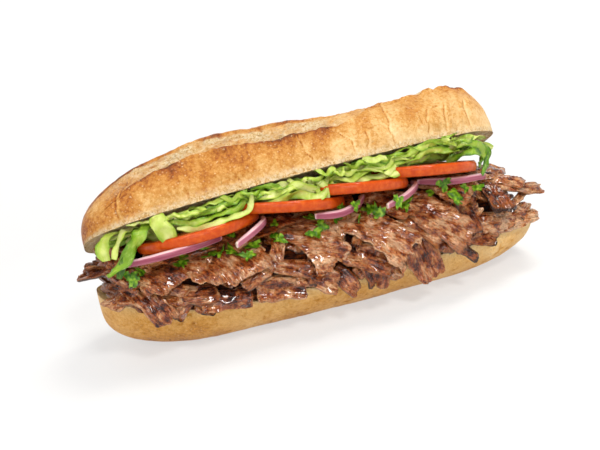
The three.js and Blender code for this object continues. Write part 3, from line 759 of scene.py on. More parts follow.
def makeTopHalf():
    count = topLoaf["stations"]
    share = np.sin((2 * np.arange(count + 1) / count - 1) * math.pi / 2)
    front = along(slash["course"], share)
    parts = [front[:, None] * np.linspace(0, 1, 66)[None, :-1],
             front[:, None] + slash["width"] * np.linspace(0, 1, 42)[None, :-1],
             mix(front[:, None] + slash["width"], 1, np.linspace(0, 1, 62)[None, :] ** 1.05)]
    around = np.concatenate(parts, 1)
    s = np.repeat(share[:, None], around.shape[1], 1)
    angle = around * math.pi
    x = np.where(s < 0, topLoaf["left"], topLoaf["right"]) * s
    width = topLoaf["halfWidth"] * taper(s, topLoaf["planPower"])
    end = np.where(s < 0, taper(s, topLoaf["leftPower"]), taper(s, topLoaf["rightPower"]))
    swell = 1
    for rise, place, breadth in topLoaf["swells"]:
        swell = swell + rise * bump(s, place, breadth)
    height = topLoaf["height"] * end * swell
    relief, behind, ends = slashRelief(s, around)
    # millimetres along the loaf and up over the crust
    plain = np.stack([x, -width * squared(np.cos(angle), topLoaf["sectionPower"]),
                      height * squared(np.sin(angle), topLoaf["sectionPower"])], -1)
    steps = np.linalg.norm(np.diff(plain, axis=1), axis=-1)
    px, py = x, np.concatenate([np.zeros((len(share), 1)), np.cumsum(steps, 1)], 1)
    inSlash = np.clip(np.minimum(behind, 1 - behind) / 0.12, 0, 1) * ends
    ripple = topRelief["swell"] * np.sin(17 * s + 7 * around) * np.sin(angle)
    ripple = ripple + topRelief["dents"] * noise(px / 21, py / 15, 0, 3)
    ripple = ripple + topRelief["wrinkles"] * layeredNoise(px / 5, py / 5, 0, 5)
    # stretch marks slanting down the front
    streak = noise((px - 0.35 * py) / 4.5, py / 22, 0, 6)
    streak = streak + 0.6 * noise((px - 0.3 * py) / 2.1, py / 13, 0, 7)
    streak = streak * (0.25 + 0.75 * bump(around, 0.05, 0.25))
    pits = np.clip((noise(px / 2.4, py / 2.2, 0, 8) - 0.75) / 0.2, 0, 1)
    ripple = ripple + topRelief["stretchMarks"] * streak - topRelief["pits"] * pits
    cracked, crackDark = crackRelief(s, around, px, py)
    ripple = ripple + cracked
    # torn threads of crumb pulled across the slash
    tornAway = topRelief["tornThreads"] * layeredNoise(px / 8, py / 3.6, 0, 9)
    tornAway = tornAway + topRelief["tornCrumbs"] * layeredNoise(px / 2.6, py / 2.2, 0, 12)
    lipWave = topRelief["lipWave"] * layeredNoise(px / 7, 0 * px, 0, 15) * bump(behind, 0, 0.14)
    relief = (relief + ripple + tornAway * inSlash + lipWave * ends) * end
    # the lower edge rolls in over the cut
    roll = -topLoaf["rollIn"] * bump(around, 0, 0.03) - topLoaf["rollIn"] * bump(around, 1, 0.03)
    y = -(width + relief + roll * end) * squared(np.cos(angle), topLoaf["sectionPower"])
    z = np.maximum((height + relief) * squared(np.sin(angle), topLoaf["sectionPower"]), 0)
    shell = np.stack([x, y, z], -1)
    # the cut crumb face, from the back edge to the front
    rows = topLoaf["cutRows"]
    across = np.linspace(0, 1, rows + 2)[1:-1]
    cut = mix(shell[:, -1:, :], shell[:, :1, :], across[None, :, None])
    hollow = np.minimum(across, 1 - across)[None, :]
    crumbs = topRelief["cutCrumbs"] * layeredNoise(cut[..., 0] / 5, cut[..., 1] / 5, 0, 21)
    cut[..., 2] += end[:, :1] * (crumbs * np.clip(hollow / 0.06, 0, 1)
                                 + topRelief["cutRise"] * np.clip(hollow / 0.12, 0, 1))
    points = np.concatenate([shell, cut], 1)
    ring = points.shape[1]
    faces = gridFaces(count, ring, closed=True)
    # browning: darkest on the lip, deep at the left, pale towards the right and low on the front
    look = topBrowning
    brown = look["plain"] - look["paleToRight"] * np.clip((s + 0.15) / 0.6, -1, 1)
    brown = brown - look["paleFoot"] * bump(around, 0.0, 0.05)
    caught = np.clip(0.45 + 0.9 * layeredNoise(px / 15, py / 40, 0, 29, 3), 0, 1.1)
    aheadOfLip = (look["aheadOfLip"] + look["streaksAhead"] * caught) * bump(behind, -0.06, 0.3)
    brown = brown + ends * (caught * look["lip"] * bump(behind, -0.01, 0.05) + aheadOfLip)
    brown = brown + look["bridge"] * bump(s, slash["bridge"], 0.12) * np.clip(behind + 0.5, 0, 1)
    brown = brown + look["backEdge"] * caught * bump(behind, 1.05, 0.1) * np.clip((0.25 - s) / 0.3, 0, 1)
    brown = brown + look["freckles"] * noise(px / 9, py / 9, 0, 31) + look["stretchMarks"] * streak
    brown = brown + look["behind"] * np.clip(behind - 1, 0, 0.4)
    # painted shade: darker in the cracks and in the pits
    brown = brown + crackDark + look["pits"] * pits
    crumbShare = inSlash * np.clip(0.7 + 0.6 * layeredNoise(px / 7, py / 4, 0, 33), 0, 1)
    crumbShare = crumbShare * np.clip((1.2 - behind) / 0.4, 0, 1)
    # the torn lower rim shows pale
    crumbShare = np.clip(crumbShare + 0.8 * bump(around, 0, 0.012) + 0.8 * bump(around, 1, 0.012), 0, 1)
    cutShape = cut.shape[:2]
    edge = np.clip((hollow - 0.015) / 0.03, 0, 1) * np.ones(cutShape)
    browning = np.concatenate([brown, look["cut"] * np.ones(cutShape)], 1)
    crumb = np.concatenate([crumbShare, edge], 1)
    placed = throughMatrix(topMatrix, points.reshape(-1, 3))
    return meshPiece("bread_top_crust", placed, faces, crustTop, "crust_top", ["bread_top"],
                     {"browning": browning.ravel(), "crumb": crumb.ravel()})


def makeBottomHalf():
    count = bottomLoaf["stations"]
    share = np.sin((2 * np.arange(count + 1) / count - 1) * math.pi / 2)
    around = np.linspace(0, 1, bottomLoaf["sideRows"] + 1)
    s, around = np.meshgrid(share, around, indexing="ij")
    x = np.where(s < 0, bottomLoaf["left"], bottomLoaf["right"]) * s
    plan = np.where(s < 0, taper(s, bottomLoaf["leftPower"]), taper(s, bottomLoaf["rightPower"]))
    width = bottomLoaf["halfWidth"] * plan
    top = cutHeight(x)
    soleFrom = bottomLoaf["soleFrom"]
    sole = bottomLoaf["soleRise"] * (np.maximum(0, np.abs(s) - soleFrom) / (1 - soleFrom)) ** 2
    # the round section reaches below the sole and is flattened there
    depth = (top - sole + bottomLoaf["belly"]) * taper(s, bottomLoaf["endPower"])
    angle = around * math.pi
    px, py = x, 60 * around
    ends = taper(s, 3)
    ripple = bottomRelief["swell"] * np.sin(9 * s + 4 * around) * np.sin(angle)
    ripple = ripple + bottomRelief["dents"] * noise(px / 24, py / 14, 0, 41)
    ripple = ripple + bottomRelief["wrinkles"] * layeredNoise(px / 5, py / 5, 0, 43)
    pits = np.clip((noise(px / 2.6, py / 2.2, 0, 44) - 0.72) / 0.2, 0, 1)
    creased = bump(s, -0.86, 0.1) * np.clip(noise(px / 2.4 + 0.4 * py, py / 16, 0, 45), 0, 1)
    ripple = (ripple - bottomRelief["pits"] * pits - bottomRelief["creases"] * creased) * ends
    y = -(width + ripple) * squared(np.cos(angle), bottomLoaf["sectionPower"])
    z = top - (depth + 0.3 * ripple) * squared(np.sin(angle), bottomLoaf["sectionPower"])
    z = np.maximum(z, np.minimum(sole, top))
    # the rim of the cut leans a little and wavers
    rim = bump(around, 0, 0.035) + bump(around, 1, 0.035)
    waver = bottomRelief["rimWaver"] * noise(px / 11, 0 * px, 0, 47)
    z = z + rim * ends * (waver + bottomRelief["rimNotches"] * noise(px / 3, 0 * px, 0, 48) - 0.4)
    shell = np.stack([x, y, z], -1)
    rows = bottomLoaf["cutRows"]
    across = np.linspace(0, 1, rows + 2)[1:-1]
    cut = mix(shell[:, -1:, :], shell[:, :1, :], across[None, :, None])
    hollow = np.minimum(across, 1 - across)[None, :]
    crumbs = ends[:, :1] * bottomRelief["cutCrumbs"] * layeredNoise(cut[..., 0] / 4, cut[..., 1] / 4, 0, 51)
    cut[..., 2] += crumbs * np.clip(hollow / 0.05, 0, 1)
    points = np.concatenate([shell, cut], 1)
    ring = points.shape[1]
    faces = gridFaces(count, ring, closed=True)[:, ::-1]
    look = bottomBrowning
    brown = look["plain"] - look["paleToRight"] * np.clip(s / 0.8, -1, 1)
    # the underside is darker: partly a browner baked sole, partly painted shade
    brown = brown + look["bakedAndShadedUnderneath"] * np.sin(angle) ** 3 * (1 - np.abs(s) ** 8)
    brown = brown + look["clouds"] * noise(px / 13, py / 8, 0, 53) * ends
    # painted light at both ends, against the shadow of the meat
    brown = brown - look["paintedLightEnds"] * np.abs(s) ** 8
    rims = look["paleRims"] * bump(around, 0, 0.07) + look["paleRims"] * bump(around, 1, 0.07)
    # painted shade in the pits; the pale rims are the crust's own
    brown = brown - rims + look["pits"] * pits
    cutShape = cut.shape[:2]
    edge = np.clip((hollow - 0.012) / 0.03, 0, 1) * np.clip((s[:, :1] + 0.96) / 0.08, 0, 1)
    edge = edge * np.ones(cutShape)
    browning = np.concatenate([brown, look["cut"] * np.ones(cutShape)], 1)
    crumb = np.concatenate([0.6 * bump(around, 0, 0.012) + 0.6 * bump(around, 1, 0.012), edge], 1)
    placed = points.reshape(-1, 3)
    return meshPiece("bread_bottom_crust", placed, faces, crustBottom, "crust_bottom", ["bread_bottom"],
                     {"browning": browning.ravel(), "crumb": crumb.ravel()})


makeTopHalf()
makeBottomHalf()
print("bread made")


meatSlice = {
    "thickness": 2.7,
    "sunk": -1.0,
    "cell": 0.8,
    "backCell": 1.5,
    "scraps": 84,
    "backSlices": 46,
    "scrapCell": 1.0,
    # from where to where along the loaf the scraps and the slices at the back lie
    "scrapSpan": (-122, 128),
    "backSpan": (-124, 126),
}
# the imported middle: how far it reaches, how blunt its ends are and how rough
meatCore = {"left": 116, "right": 120, "power": 5, "lumps": 1.6, "grit": 0.8, "stations": 130, "rows": 90}
# the layers at both ends of the heap
endLayer = {
    "count": 7,
    "sides": [(-1, 113), (1, 117)],
    "halfWidth": 26,
    "tuckedIn": 8,
    "standsOut": 9,
    "roundedBy": 7,
    "foot": 2,
    "rise": 29,
    "halfThickness": 1.7,
    "rows": 43,
    "columns": 17,
}
# millimetres of ripple in a slice, from its slow bends down to the threads of its fibres
sliceRipple = {"longBend": 0.8, "crossBend": 0.6, "folds": 1.3, "ridges": 1.8, "threads": 0.75, "curl": 0.9,
               "tipCurl": 0.8}
# x, degrees round the heap, length, width, turn of the long axis in degrees, lift of the lower edge,
# then the turn of the fibres from the long axis, the tone and how charred its edges are
shownSlices = [
    (-127, 38, 20, 14, -3, 3.2, 0, -0.15, 0.5),
    (-116, 43, 40, 15, 58, 3.2, 10, -0.1, 0.3),
    (-102, 80, 27, 15, 57, 5.7, 0, 0.0, 0.3),
    (-90, 53, 36, 22, -19, 6.6, 60, 0.0, 0.2),
    (-59, 53, 42, 27, 1, 6.9, 55, 0.12, 0.2),
    (-80, 77, 24, 11, -2, 3.7, 0, -0.1, 0.3),
    (-64, 84, 28, 10, 2, 4.9, 0, 0.0, 0.2),
    (-46, 68, 22, 13, -23, 5.5, 0, 0.05, 0.6),
    (-34, 84, 28, 13, 9, 3.2, 5, 0.15, 0.2),
    (-30, 26, 28, 22, -5, 5.5, 50, -0.05, 0.2),
    (-28, 69, 28, 10, 20, 3.7, 0, -0.05, 0.3),
    (-10, 49, 42, 26, 66, 7.8, -50, 0.15, 0.2),
    (24, 53, 52, 24, 50, 8.9, -12, 0.1, 0.15),
    (41, 32, 36, 18, 65, 6, -20, 0.0, 0.3),
    (52, 66, 30, 10, 43, 6.4, 0, -0.1, 0.4),
    (65, 61, 43, 21, 53, 8.9, -15, 0.12, 0.5),
    (77, 89, 20, 7, 48, 6.6, 0, -0.2, 0.9),
    (51, 86, 28, 20, 76, 5.5, 0, 0.05, 0.2),
    (76, 31, 40, 22, 54, 7.8, -18, 0.1, 0.25),
    (84, 66, 22, 12, 90, 4.9, 0, -0.2, 0.5),
    (106, 52, 28, 15, 92, 7.2, 0, -0.1, 0.8),
    (126, 46, 38, 16, 20, 5, 0, 0.15, 0.3),
    (116, 30, 36, 16, 38, 5, 0, 0.1, 0.3),
    (114, 82, 44, 13, 12, 4, 0, 0.1, 0.25),
    (89, 86, 25, 8, 15, 4.3, 0, -0.05, 0.6),
    (12, 73, 42, 14, 28, 4.9, 0, -0.05, 0.35),
    (18, 87, 18, 10, 76, 4.3, 0, -0.2, 0.6),
    (3, 90, 18, 10, 54, 4.8, 0, -0.1, 0.5),
    (-13, 83, 24, 12, 25, 4.3, 0, 0.1, 0.3),
    (30, 87, 17, 11, 47, 3.7, 0, 0.0, 0.4),
    (-59, 26, 30, 19, 2, 4.3, 45, -0.05, 0.2),
    (5, 16, 34, 18, 26, 4.3, 30, -0.05, 0.2),
    (-88, 34, 27, 17, -21, 3.7, 40, -0.05, 0.2),
]


# one shaved slice laid on the heap, torn round its edges and rippled along its fibres
def addSlice(gather, i, row, cell):
    x, degrees, length, width, turn, lift, grainTurn, tone, char = row
    rows = max(6, int(length / cell))
    columns = max(4, int(width / cell))
    a, b = np.meshgrid(np.linspace(-1, 1, rows + 1), np.linspace(-1, 1, columns + 1), indexing="ij")
    # the sides are torn, each in its own way
    outline = mix(0.6, 1, taper(a, 4)) * (1 + 0.08 * np.sin(3 * a + 6 * draw(i, 1)))
    side = np.where(b < 0, 0.0, 5.0)
    outline = outline * (1 + 0.12 * noise(a * length / 9, side, 0, i + 2)
                         + 0.035 * noise(a * length / 2.8, side, 0, i + 3))
    tip = np.where(a < 0, 0.0, 5.0)
    lengthen = 1 + np.abs(a) ** 3 * (0.08 * noise(b * width / 8, tip, 0, i + 4)
                                     + 0.03 * noise(b * width / 2.5, tip, 0, i + 5))
    longPart = length / 2 * a * lengthen
    crossPart = width / 2 * b * outline
    turned = math.radians(turn)
    dx = longPart * math.cos(turned) - crossPart * math.sin(turned)
    down = longPart * math.sin(turned) + crossPart * math.cos(turned)
    angle = math.radians(degrees) + down / heap["radius"]
    grained = math.radians(grainTurn)
    u = longPart * math.cos(grained) + crossPart * math.sin(grained)
    v = crossPart * math.cos(grained) - longPart * math.sin(grained)
    wave = sliceRipple["longBend"] * np.sin(2.6 * a + 6 * draw(i, 5))
    wave = wave + sliceRipple["crossBend"] * np.sin(3.4 * b + 6 * draw(i, 6))
    wave = wave + sliceRipple["folds"] * noise(u / 9, v / 7, 0, i + 11)
    wave = wave + 0.9 - sliceRipple["ridges"] * np.abs(noise(u / 8, v / 3.4, 0, i + 13))
    wave = wave + 0.35 - sliceRipple["threads"] * np.abs(noise(u / 6, v / 1.8, 0, i + 17))
    curl = sliceRipple["curl"] * spread(i, 7, 1) * np.abs(b) ** 3
    curl = curl + sliceRipple["tipCurl"] * spread(i, 8, 1) * np.abs(a) ** 3
    low = 0.5 + down / (abs(math.sin(turned)) * length + abs(math.cos(turned)) * width)
    raised = mix(meatSlice["sunk"], 1.15 * lift + 0.6, low) + wave + curl
    rim = np.maximum(np.abs(a), np.abs(b))
    half = meatSlice["thickness"] / 2 * np.maximum(0.45, (1 - rim ** 9) ** 0.5)
    point = heapPoint(x + dx, angle)
    normal = heapNormal(x + dx, angle)
    outer = point + normal * (raised + half)[..., None]
    inner = point + normal * (raised - half)[..., None]
    # nothing sinks into the bread under it
    for layer in (outer, inner):
        inside = np.abs(layer[..., 1]) < bottomLoaf["halfWidth"] - 1
        floor = cutHeight(layer[..., 0]) + 0.4
        layer[..., 2] = np.where(inside, np.maximum(layer[..., 2], floor), layer[..., 2])
    points = np.concatenate([outer.reshape(-1, 3), inner.reshape(-1, 3)])
    grain = np.stack([u, v, np.full(u.shape, 13.7 * i)], -1).reshape(-1, 3)
    burn = (0.1 + char) * (rim ** 5 + 0.6 * np.clip(low, 0, 1) ** 3) + 0.12 * noise(u / 6, v / 4, 0, i + 23)
    # the tucked-in upper part is darker, painted shade under the slice above; the torn rim is paler, partly
    # as a painted highlight on the edge
    tones = tone + 0.12 * noise(u / 12, v / 8, 0, i + 29) + spread(i, 9, 0.1)
    tones = tones - 0.22 * np.clip(0.45 - low, 0, 1)
    tones = tones + 0.25 * np.clip((rim - 0.82) / 0.18, 0, 1) ** 2
    # the lower face of each slice is darker still: painted shade
    gather.add(points, sheetFaces(rows, columns), {
        "grain": np.concatenate([grain, grain + 31]),
        "char": np.concatenate([burn.ravel(), burn.ravel()]),
        "tone": np.concatenate([tones.ravel(), tones.ravel() - 0.2]),
    })


# flat layers stacked at both ends of the heap, seen by their edges
def addEndLayers(gather):
    number = firstNumber["endLayers"]
    rows, columns = endLayer["rows"], endLayer["columns"]
    tucked = endLayer["tuckedIn"]
    for side, reach in endLayer["sides"]:
        for k in range(endLayer["count"]):
            number += 1
            level = (k + 0.5) / endLayer["count"]
            a, b = np.meshgrid(np.linspace(-1, 1, rows + 1), np.linspace(-1, 1, columns + 1), indexing="ij")
            # the layers get narrower towards the ridge, like the heap
            narrower = (1 - 0.9 * level ** heap["power"]) ** (1 / heap["power"])
            halfWidth = endLayer["halfWidth"] * narrower + spread(number, 1, 3)
            y = -2 + halfWidth * a + 2 * spread(number, 2, 1)
            outward = endLayer["standsOut"] + 4 * draw(number, 3)
            outward = outward + 2.5 * noise(a * halfWidth / 7, 0 * a, 0, number)
            outward = outward - endLayer["roundedBy"] * np.abs(a) ** 3
            outward = outward + 0.8 * noise(a * halfWidth / 2.4, 0 * a, 0, number + 1)
            x = side * (reach - tucked + (b + 1) / 2 * (outward + tucked))
            z = cutHeight(x) + endLayer["foot"] + level * endLayer["rise"]
            z = z + 2.2 * noise(a * 2, b * 1.5, 0, number + 2)
            z = z + 0.8 * noise(a * halfWidth / 4, b * 4, 0, number + 3) - 1.5 * np.clip(b, 0, 1) ** 2
            rim = np.maximum(np.abs(a), b)
            half = endLayer["halfThickness"] * np.maximum(0.4, (1 - np.clip(rim, 0, 1) ** 9) ** 0.5)
            points = np.concatenate([np.stack([x, y, z + half], -1).reshape(-1, 3),
                                     np.stack([x, y, z - half], -1).reshape(-1, 3)])
            grain = np.stack([y, x, np.full(a.shape, 9.1 * number)], -1).reshape(-1, 3)
            burn = (0.25 + 0.4 * draw(number, 4)) * np.clip(rim, 0, 1) ** 6
            tones = spread(number, 5, 0.12) + 0.1 * noise(y / 8, x / 6, 0, number + 4)
            # painted shade: darker towards the end tucked into the heap, and darker again on the lower face
            tones = tones - 0.15 * np.clip(-b, 0, 1)
            faces = sheetFaces(rows, columns)
            # the left end is a mirror image, so its faces are turned round
            if side < 0:
                faces = [face[::-1] for face in faces]
            gather.add(points, faces, {
                "grain": np.concatenate([grain, grain + 31]),
                "char": np.concatenate([burn.ravel(), burn.ravel()]),
                "tone": np.concatenate([tones.ravel(), tones.ravel() - 0.15]),
            })


# packed middle, coarse and painted dark: painted shade where it shows between the slices
def makeMeatCore():
    count, rows = meatCore["stations"], meatCore["rows"]
    share = np.sin((2 * np.arange(count + 1) / count - 1) * math.pi / 2)
    s, around = np.meshgrid(share, np.linspace(0, 1, rows + 1), indexing="ij")
    x = np.where(s < 0, meatCore["left"], meatCore["right"]) * s
    end = taper(s, meatCore["power"])
    angle = np.radians(mix(92, -92, around))
    point = heapPoint(x, angle, 0.5)
    rough = meatCore["lumps"] * layeredNoise(x / 9, angle * 5, 0, 61)
    rough = rough + meatCore["grit"] * noise(x / 3, angle * 12, 0, 62) - 0.6
    point = point + heapNormal(x, angle) * (rough * end)[..., None]
    point[..., 1] *= end
    point[..., 2] = mix(cutHeight(x) + 6, np.maximum(point[..., 2], cutHeight(x) + 0.4), end)
    grain = np.stack([x, angle * heap["radius"], np.zeros(x.shape)], -1).reshape(-1, 3)
    faces = gridFaces(count, rows + 1, closed=True)
    # a low tone all over: painted shade
    return meshPiece("meat_middle", point.reshape(-1, 3), faces, packedMeat, "meat", ["meat"],
                     {"grain": grain, "char": 0.3 * np.ones(x.size), "tone": -0.45 * np.ones(x.size)})


# scraps between the shown slices, with values like theirs drawn round the usual ones
def addScraps(gather):
    for k in range(meatSlice["scraps"]):
        x = mix(*meatSlice["scrapSpan"], (k + 0.5) / meatSlice["scraps"]) + spread(k, 61, 5)
        row = (x, 56 + spread(k, 62, 34), 17 + spread(k, 63, 7), 9 + spread(k, 64, 3), spread(k, 65, 70),
               1.8 + spread(k, 66, 1.4), spread(k, 67, 20), spread(k, 68, 0.18),
               0.25 + 0.5 * draw(k, 69) ** 2)
        addSlice(gather, firstNumber["scraps"] + k, row, meatSlice["scrapCell"])


# slices on the back of the heap, drawn in the same way
def addBackSlices(gather):
    for k in range(meatSlice["backSlices"]):
        x = mix(*meatSlice["backSpan"], (k + 0.5) / meatSlice["backSlices"]) + spread(k, 11, 6)
        row = (x, -58 + spread(k, 12, 32), 30 + spread(k, 13, 9), 17 + spread(k, 14, 5), spread(k, 15, 65),
               2.5 + 2 * draw(k, 16), spread(k, 17, 50), spread(k, 18, 0.12), 0.2 + 0.4 * draw(k, 19) ** 2)
        addSlice(gather, firstNumber["backSlices"] + k, row, meatSlice["backCell"])


def makeMeat():
    middle = makeMeatCore()
    front, scraps, back = Gather(), Gather(), Gather()
    for i, row in enumerate(shownSlices):
        addSlice(front, i, row, meatSlice["cell"])
    addScraps(scraps)
    addEndLayers(scraps)
    addBackSlices(back)
    return [middle,
            front.piece("meat_slices", meatMaterial, "meat", ["meat"]),
            scraps.piece("meat_scraps", meatMaterial, "meat", ["meat"]),
            back.piece("meat_slices_back", meatMaterial, "meat", ["meat"])]


fillings = makeMeat()
print("meat made")


tomato = {
    "radius": 35,
    "thickness": 6.4,
    "frontLift": 12,
    "sides": 150,
    "chambers": 5,
    "faceRows": 34,
    "skinRows": 13,
    "bulge": 1.6,
    "gelDip": 0.7,
    "underTop": 1.5,
    # centre of each slice in x, y and z, then how steeply it climbs to the right
    "slices": [(-69, -14, 65, 4.5), (-18, -14, 69.3, -8.5), (22, -14, 71.5, -7), (66, -15, 72.6, -7)],
}


def makeTomato(k, cx, cy, cz, climb):
    radius = tomato["radius"]
    half = tomato["thickness"] / 2
    rows, bulge = tomato["faceRows"], tomato["bulge"]
    face = np.linspace(0.02, 0.97, rows)
    bend = np.linspace(math.pi / 2, -math.pi / 2, tomato["skinRows"])
    # up one face, round the skin and back along the other
    r = np.concatenate([face * radius, radius - bulge + bulge * np.cos(bend), face[::-1] * radius])
    height = np.concatenate([np.full(rows, half), half * np.sin(bend), np.full(rows, -half)])
    isFace = np.concatenate([np.ones(rows), np.zeros(len(bend)), np.ones(rows)])
    turn = np.linspace(0, 2 * math.pi, tomato["sides"], endpoint=False)
    rr, tt = np.meshgrid(r, turn, indexing="ij")
    hh = np.repeat(height[:, None], len(turn), 1)
    faceHere = np.repeat(isFace[:, None], len(turn), 1)
    inward = rr / radius
    # chambers of gel between walls of flesh
    lobe = np.cos(tomato["chambers"] * (tt + 1.3 * k) + 0.5 * np.sin(2 * tt + k))
    gel = np.clip((lobe + 0.25) / 0.3, 0, 1) * np.clip((0.82 - inward) / 0.05, 0, 1)
    gel = gel * np.clip((inward - 0.26) / 0.06, 0, 1) * faceHere
    speckle = noise(rr * np.cos(tt) / 2.2, rr * np.sin(tt) / 2.2, 0, 71 + k)
    pips = np.clip((speckle - 0.42) / 0.12, 0, 1) * gel
    dip = tomato["gelDip"]
    flesh = 0.12 * noise(rr * np.cos(tt) / 3, rr * np.sin(tt) / 3, 0, 75)
    hh = hh + np.sign(hh) * (-dip * gel + dip * pips + flesh) * faceHere
    uneven = 0.006 * noise(6 * np.cos(tt), 6 * np.sin(tt), 0, 77 + k)
    lobed = rr * (1 + 0.012 * np.cos(5 * tt + cx) + uneven)
    x = cx + lobed * np.cos(tt)
    y = cy + lobed * np.sin(tt)
    flat = cz + math.tan(math.radians(climb)) * (x - cx)
    flat = flat - math.tan(math.radians(tomato["frontLift"])) * (y - cy)
    # at the back the slice bends down under the top half
    lid = topUnderside(x, y) - half - tomato["underTop"]
    z = np.minimum(flat, lid) + hh
    points = np.stack([x, y, z], -1).reshape(-1, 3)
    sides = len(turn)
    faces = gridFaces(len(r) - 1, sides, closed=True).tolist()
    faces.append(list(range(sides)))
    faces.append([(len(r) - 1) * sides + j for j in range(sides)][::-1])
    skin = np.repeat((1 - isFace)[:, None], sides, 1)
    return meshPiece(f"tomato_slice_{k + 1}", points, faces, tomatoMaterial, "tomato", [f"tomato_{k + 1}"],
                     {"skin": skin.ravel(), "gel": gel.ravel(), "pip": pips.ravel()})


for k, place in enumerate(tomato["slices"]):
    fillings.append(makeTomato(k, *place))
print("tomatoes made")


# a smooth run through control points, evenly spaced along its length
def smoothRun(path, count):
    path = np.asarray(path, float)
    ends = [2 * path[0] - path[1], *path, 2 * path[-1] - path[-2]]
    steps = []
    for i in range(1, len(ends) - 2):
        t = np.linspace(0, 1, 30, endpoint=False)[:, None]
        a, b, c, d = ends[i - 1:i + 3]
        bow = (2 * a - 5 * b + 4 * c - d) * t ** 2
        steps.append(0.5 * (2 * b + (c - a) * t + bow + (3 * b - a - 3 * c + d) * t ** 3))
    run = np.concatenate(steps + [path[-1:]])
    length = np.concatenate([[0], np.cumsum(np.linalg.norm(np.diff(run, axis=0), axis=1))])
    even = np.linspace(0, length[-1], count + 1)
    points = np.stack([np.interp(even, length, run[:, i]) for i in range(3)], -1)
    return points, unit(np.gradient(points, axis=0)), even


onion = {
    "height": 4.0,
    "wall": 2.8,
    "steps": 90,
    "sectionPoints": 28,
    "frontLift": 12,
    "groovePlace": -0.08,
    "grooveWidth": 0.06,
    "grooveDepth": 0.07,
    "grainSize": (3.4, 5.4),
    "arcs": [
        [(-113, -36, 62), (-95, -43, 64.6), (-75, -43, 66), (-60, -32, 64)],
        [(-54.5, -45, 62), (-45, -43, 66), (-36, -35, 68), (-33, -22, 66.5)],
        [(-8, -40, 66.5), (6, -42, 65.5), (18, -38, 67), (27, -24, 66.5)],
        [(34, -42, 63.5), (46, -42, 67), (56, -34, 69), (60, -20, 67)],
        [(62, -24, 68), (78, -37, 68), (96, -36, 66.5), (106, -24, 62)],
    ],
    # how purple the outside of each piece is
    "purple": [0.7, 0.6, 0.7, 0.6, 0.65],
}


def makeOnion(k, path):
    points, tangent, even = smoothRun(path, onion["steps"])
    lift = math.radians(onion["frontLift"])
    up = np.array([0, -math.sin(lift), math.cos(lift)])
    side = unit(np.cross(tangent, up))
    # two layers with a fine groove between them, seen on the cut edges
    section = []
    for j in range(onion["sectionPoints"]):
        turn = j / onion["sectionPoints"] * 2 * math.pi
        across = 0.5 * squared(math.cos(turn), 4)
        upward = 0.5 * squared(math.sin(turn), 3)
        groove = onion["grooveDepth"] * bump(across, onion["groovePlace"], onion["grooveWidth"])
        section.append((across, upward - groove * np.sign(upward)))
    section = np.array(section)
    share = even / even[-1]
    end = 1 - 0.3 * np.abs(2 * share - 1) ** 6
    waver = 1 + 0.06 * noise(even / 7, 0 * even, 0, 81 + k)
    offset = section[None, :, 0, None] * (onion["wall"] * end)[:, None, None] * side[:, None, :]
    offset = offset + section[None, :, 1, None] * (onion["height"] * end * waver)[:, None, None] * up
    body = points[:, None, :] + offset
    count = section.shape[0]
    faces = gridFaces(onion["steps"], count, closed=True).tolist()
    faces.append(list(range(count)))
    faces.append([onion["steps"] * count + j for j in range(count)][::-1])
    outside = np.clip((np.abs(section[:, 0]) - 0.3) / 0.2, 0, 1) * np.where(section[:, 0] > 0, 1, 0.35)
    layer = onion["purple"][k] * mix(0.25, 1, outside)[None, :] * np.ones((len(even), 1))
    layer = layer - 0.5 * np.clip((np.abs(2 * share - 1) - 0.94) / 0.06, 0, 1)[:, None]
    wide, high = onion["grainSize"]
    grain = np.stack(np.broadcast_arrays(even[:, None], wide * section[None, :, 0],
                                         high * section[None, :, 1]), -1)
    placed = body.reshape(-1, 3)
    return meshPiece(f"onion_ring_{k + 1}", placed, faces, onionMaterial, "onion", [f"onion_{k + 1}"],
                     {"layer": layer.ravel(), "grain": grain.reshape(-1, 3)})


for k, path in enumerate(onion["arcs"]):
    fillings.append(makeOnion(k, path))
print("onions made")


lettuce = {
    "thickness": 0.35,
    "strip": 4.2,
    "fillers": 110,
    "curls": 34,
    "backFillers": 28,
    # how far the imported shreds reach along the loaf, and how far below the top half they lie
    "fillerSpan": (-106, 94),
    "fillerDepth": (1.5, 9),
    "curlSpan": (-92, 88),
    "backSpan": (-104, 96),
    "gap": 0.3,
    "faceTilt": 35,
    "narrowing": 0.85,
    "cell": 0.85,
    "fillerCell": 1.2,
    "backCell": 1.6,
    # the first shreds hang down one by one, the wider ones after them are cut in strips
    "wholeShreds": 5,
}
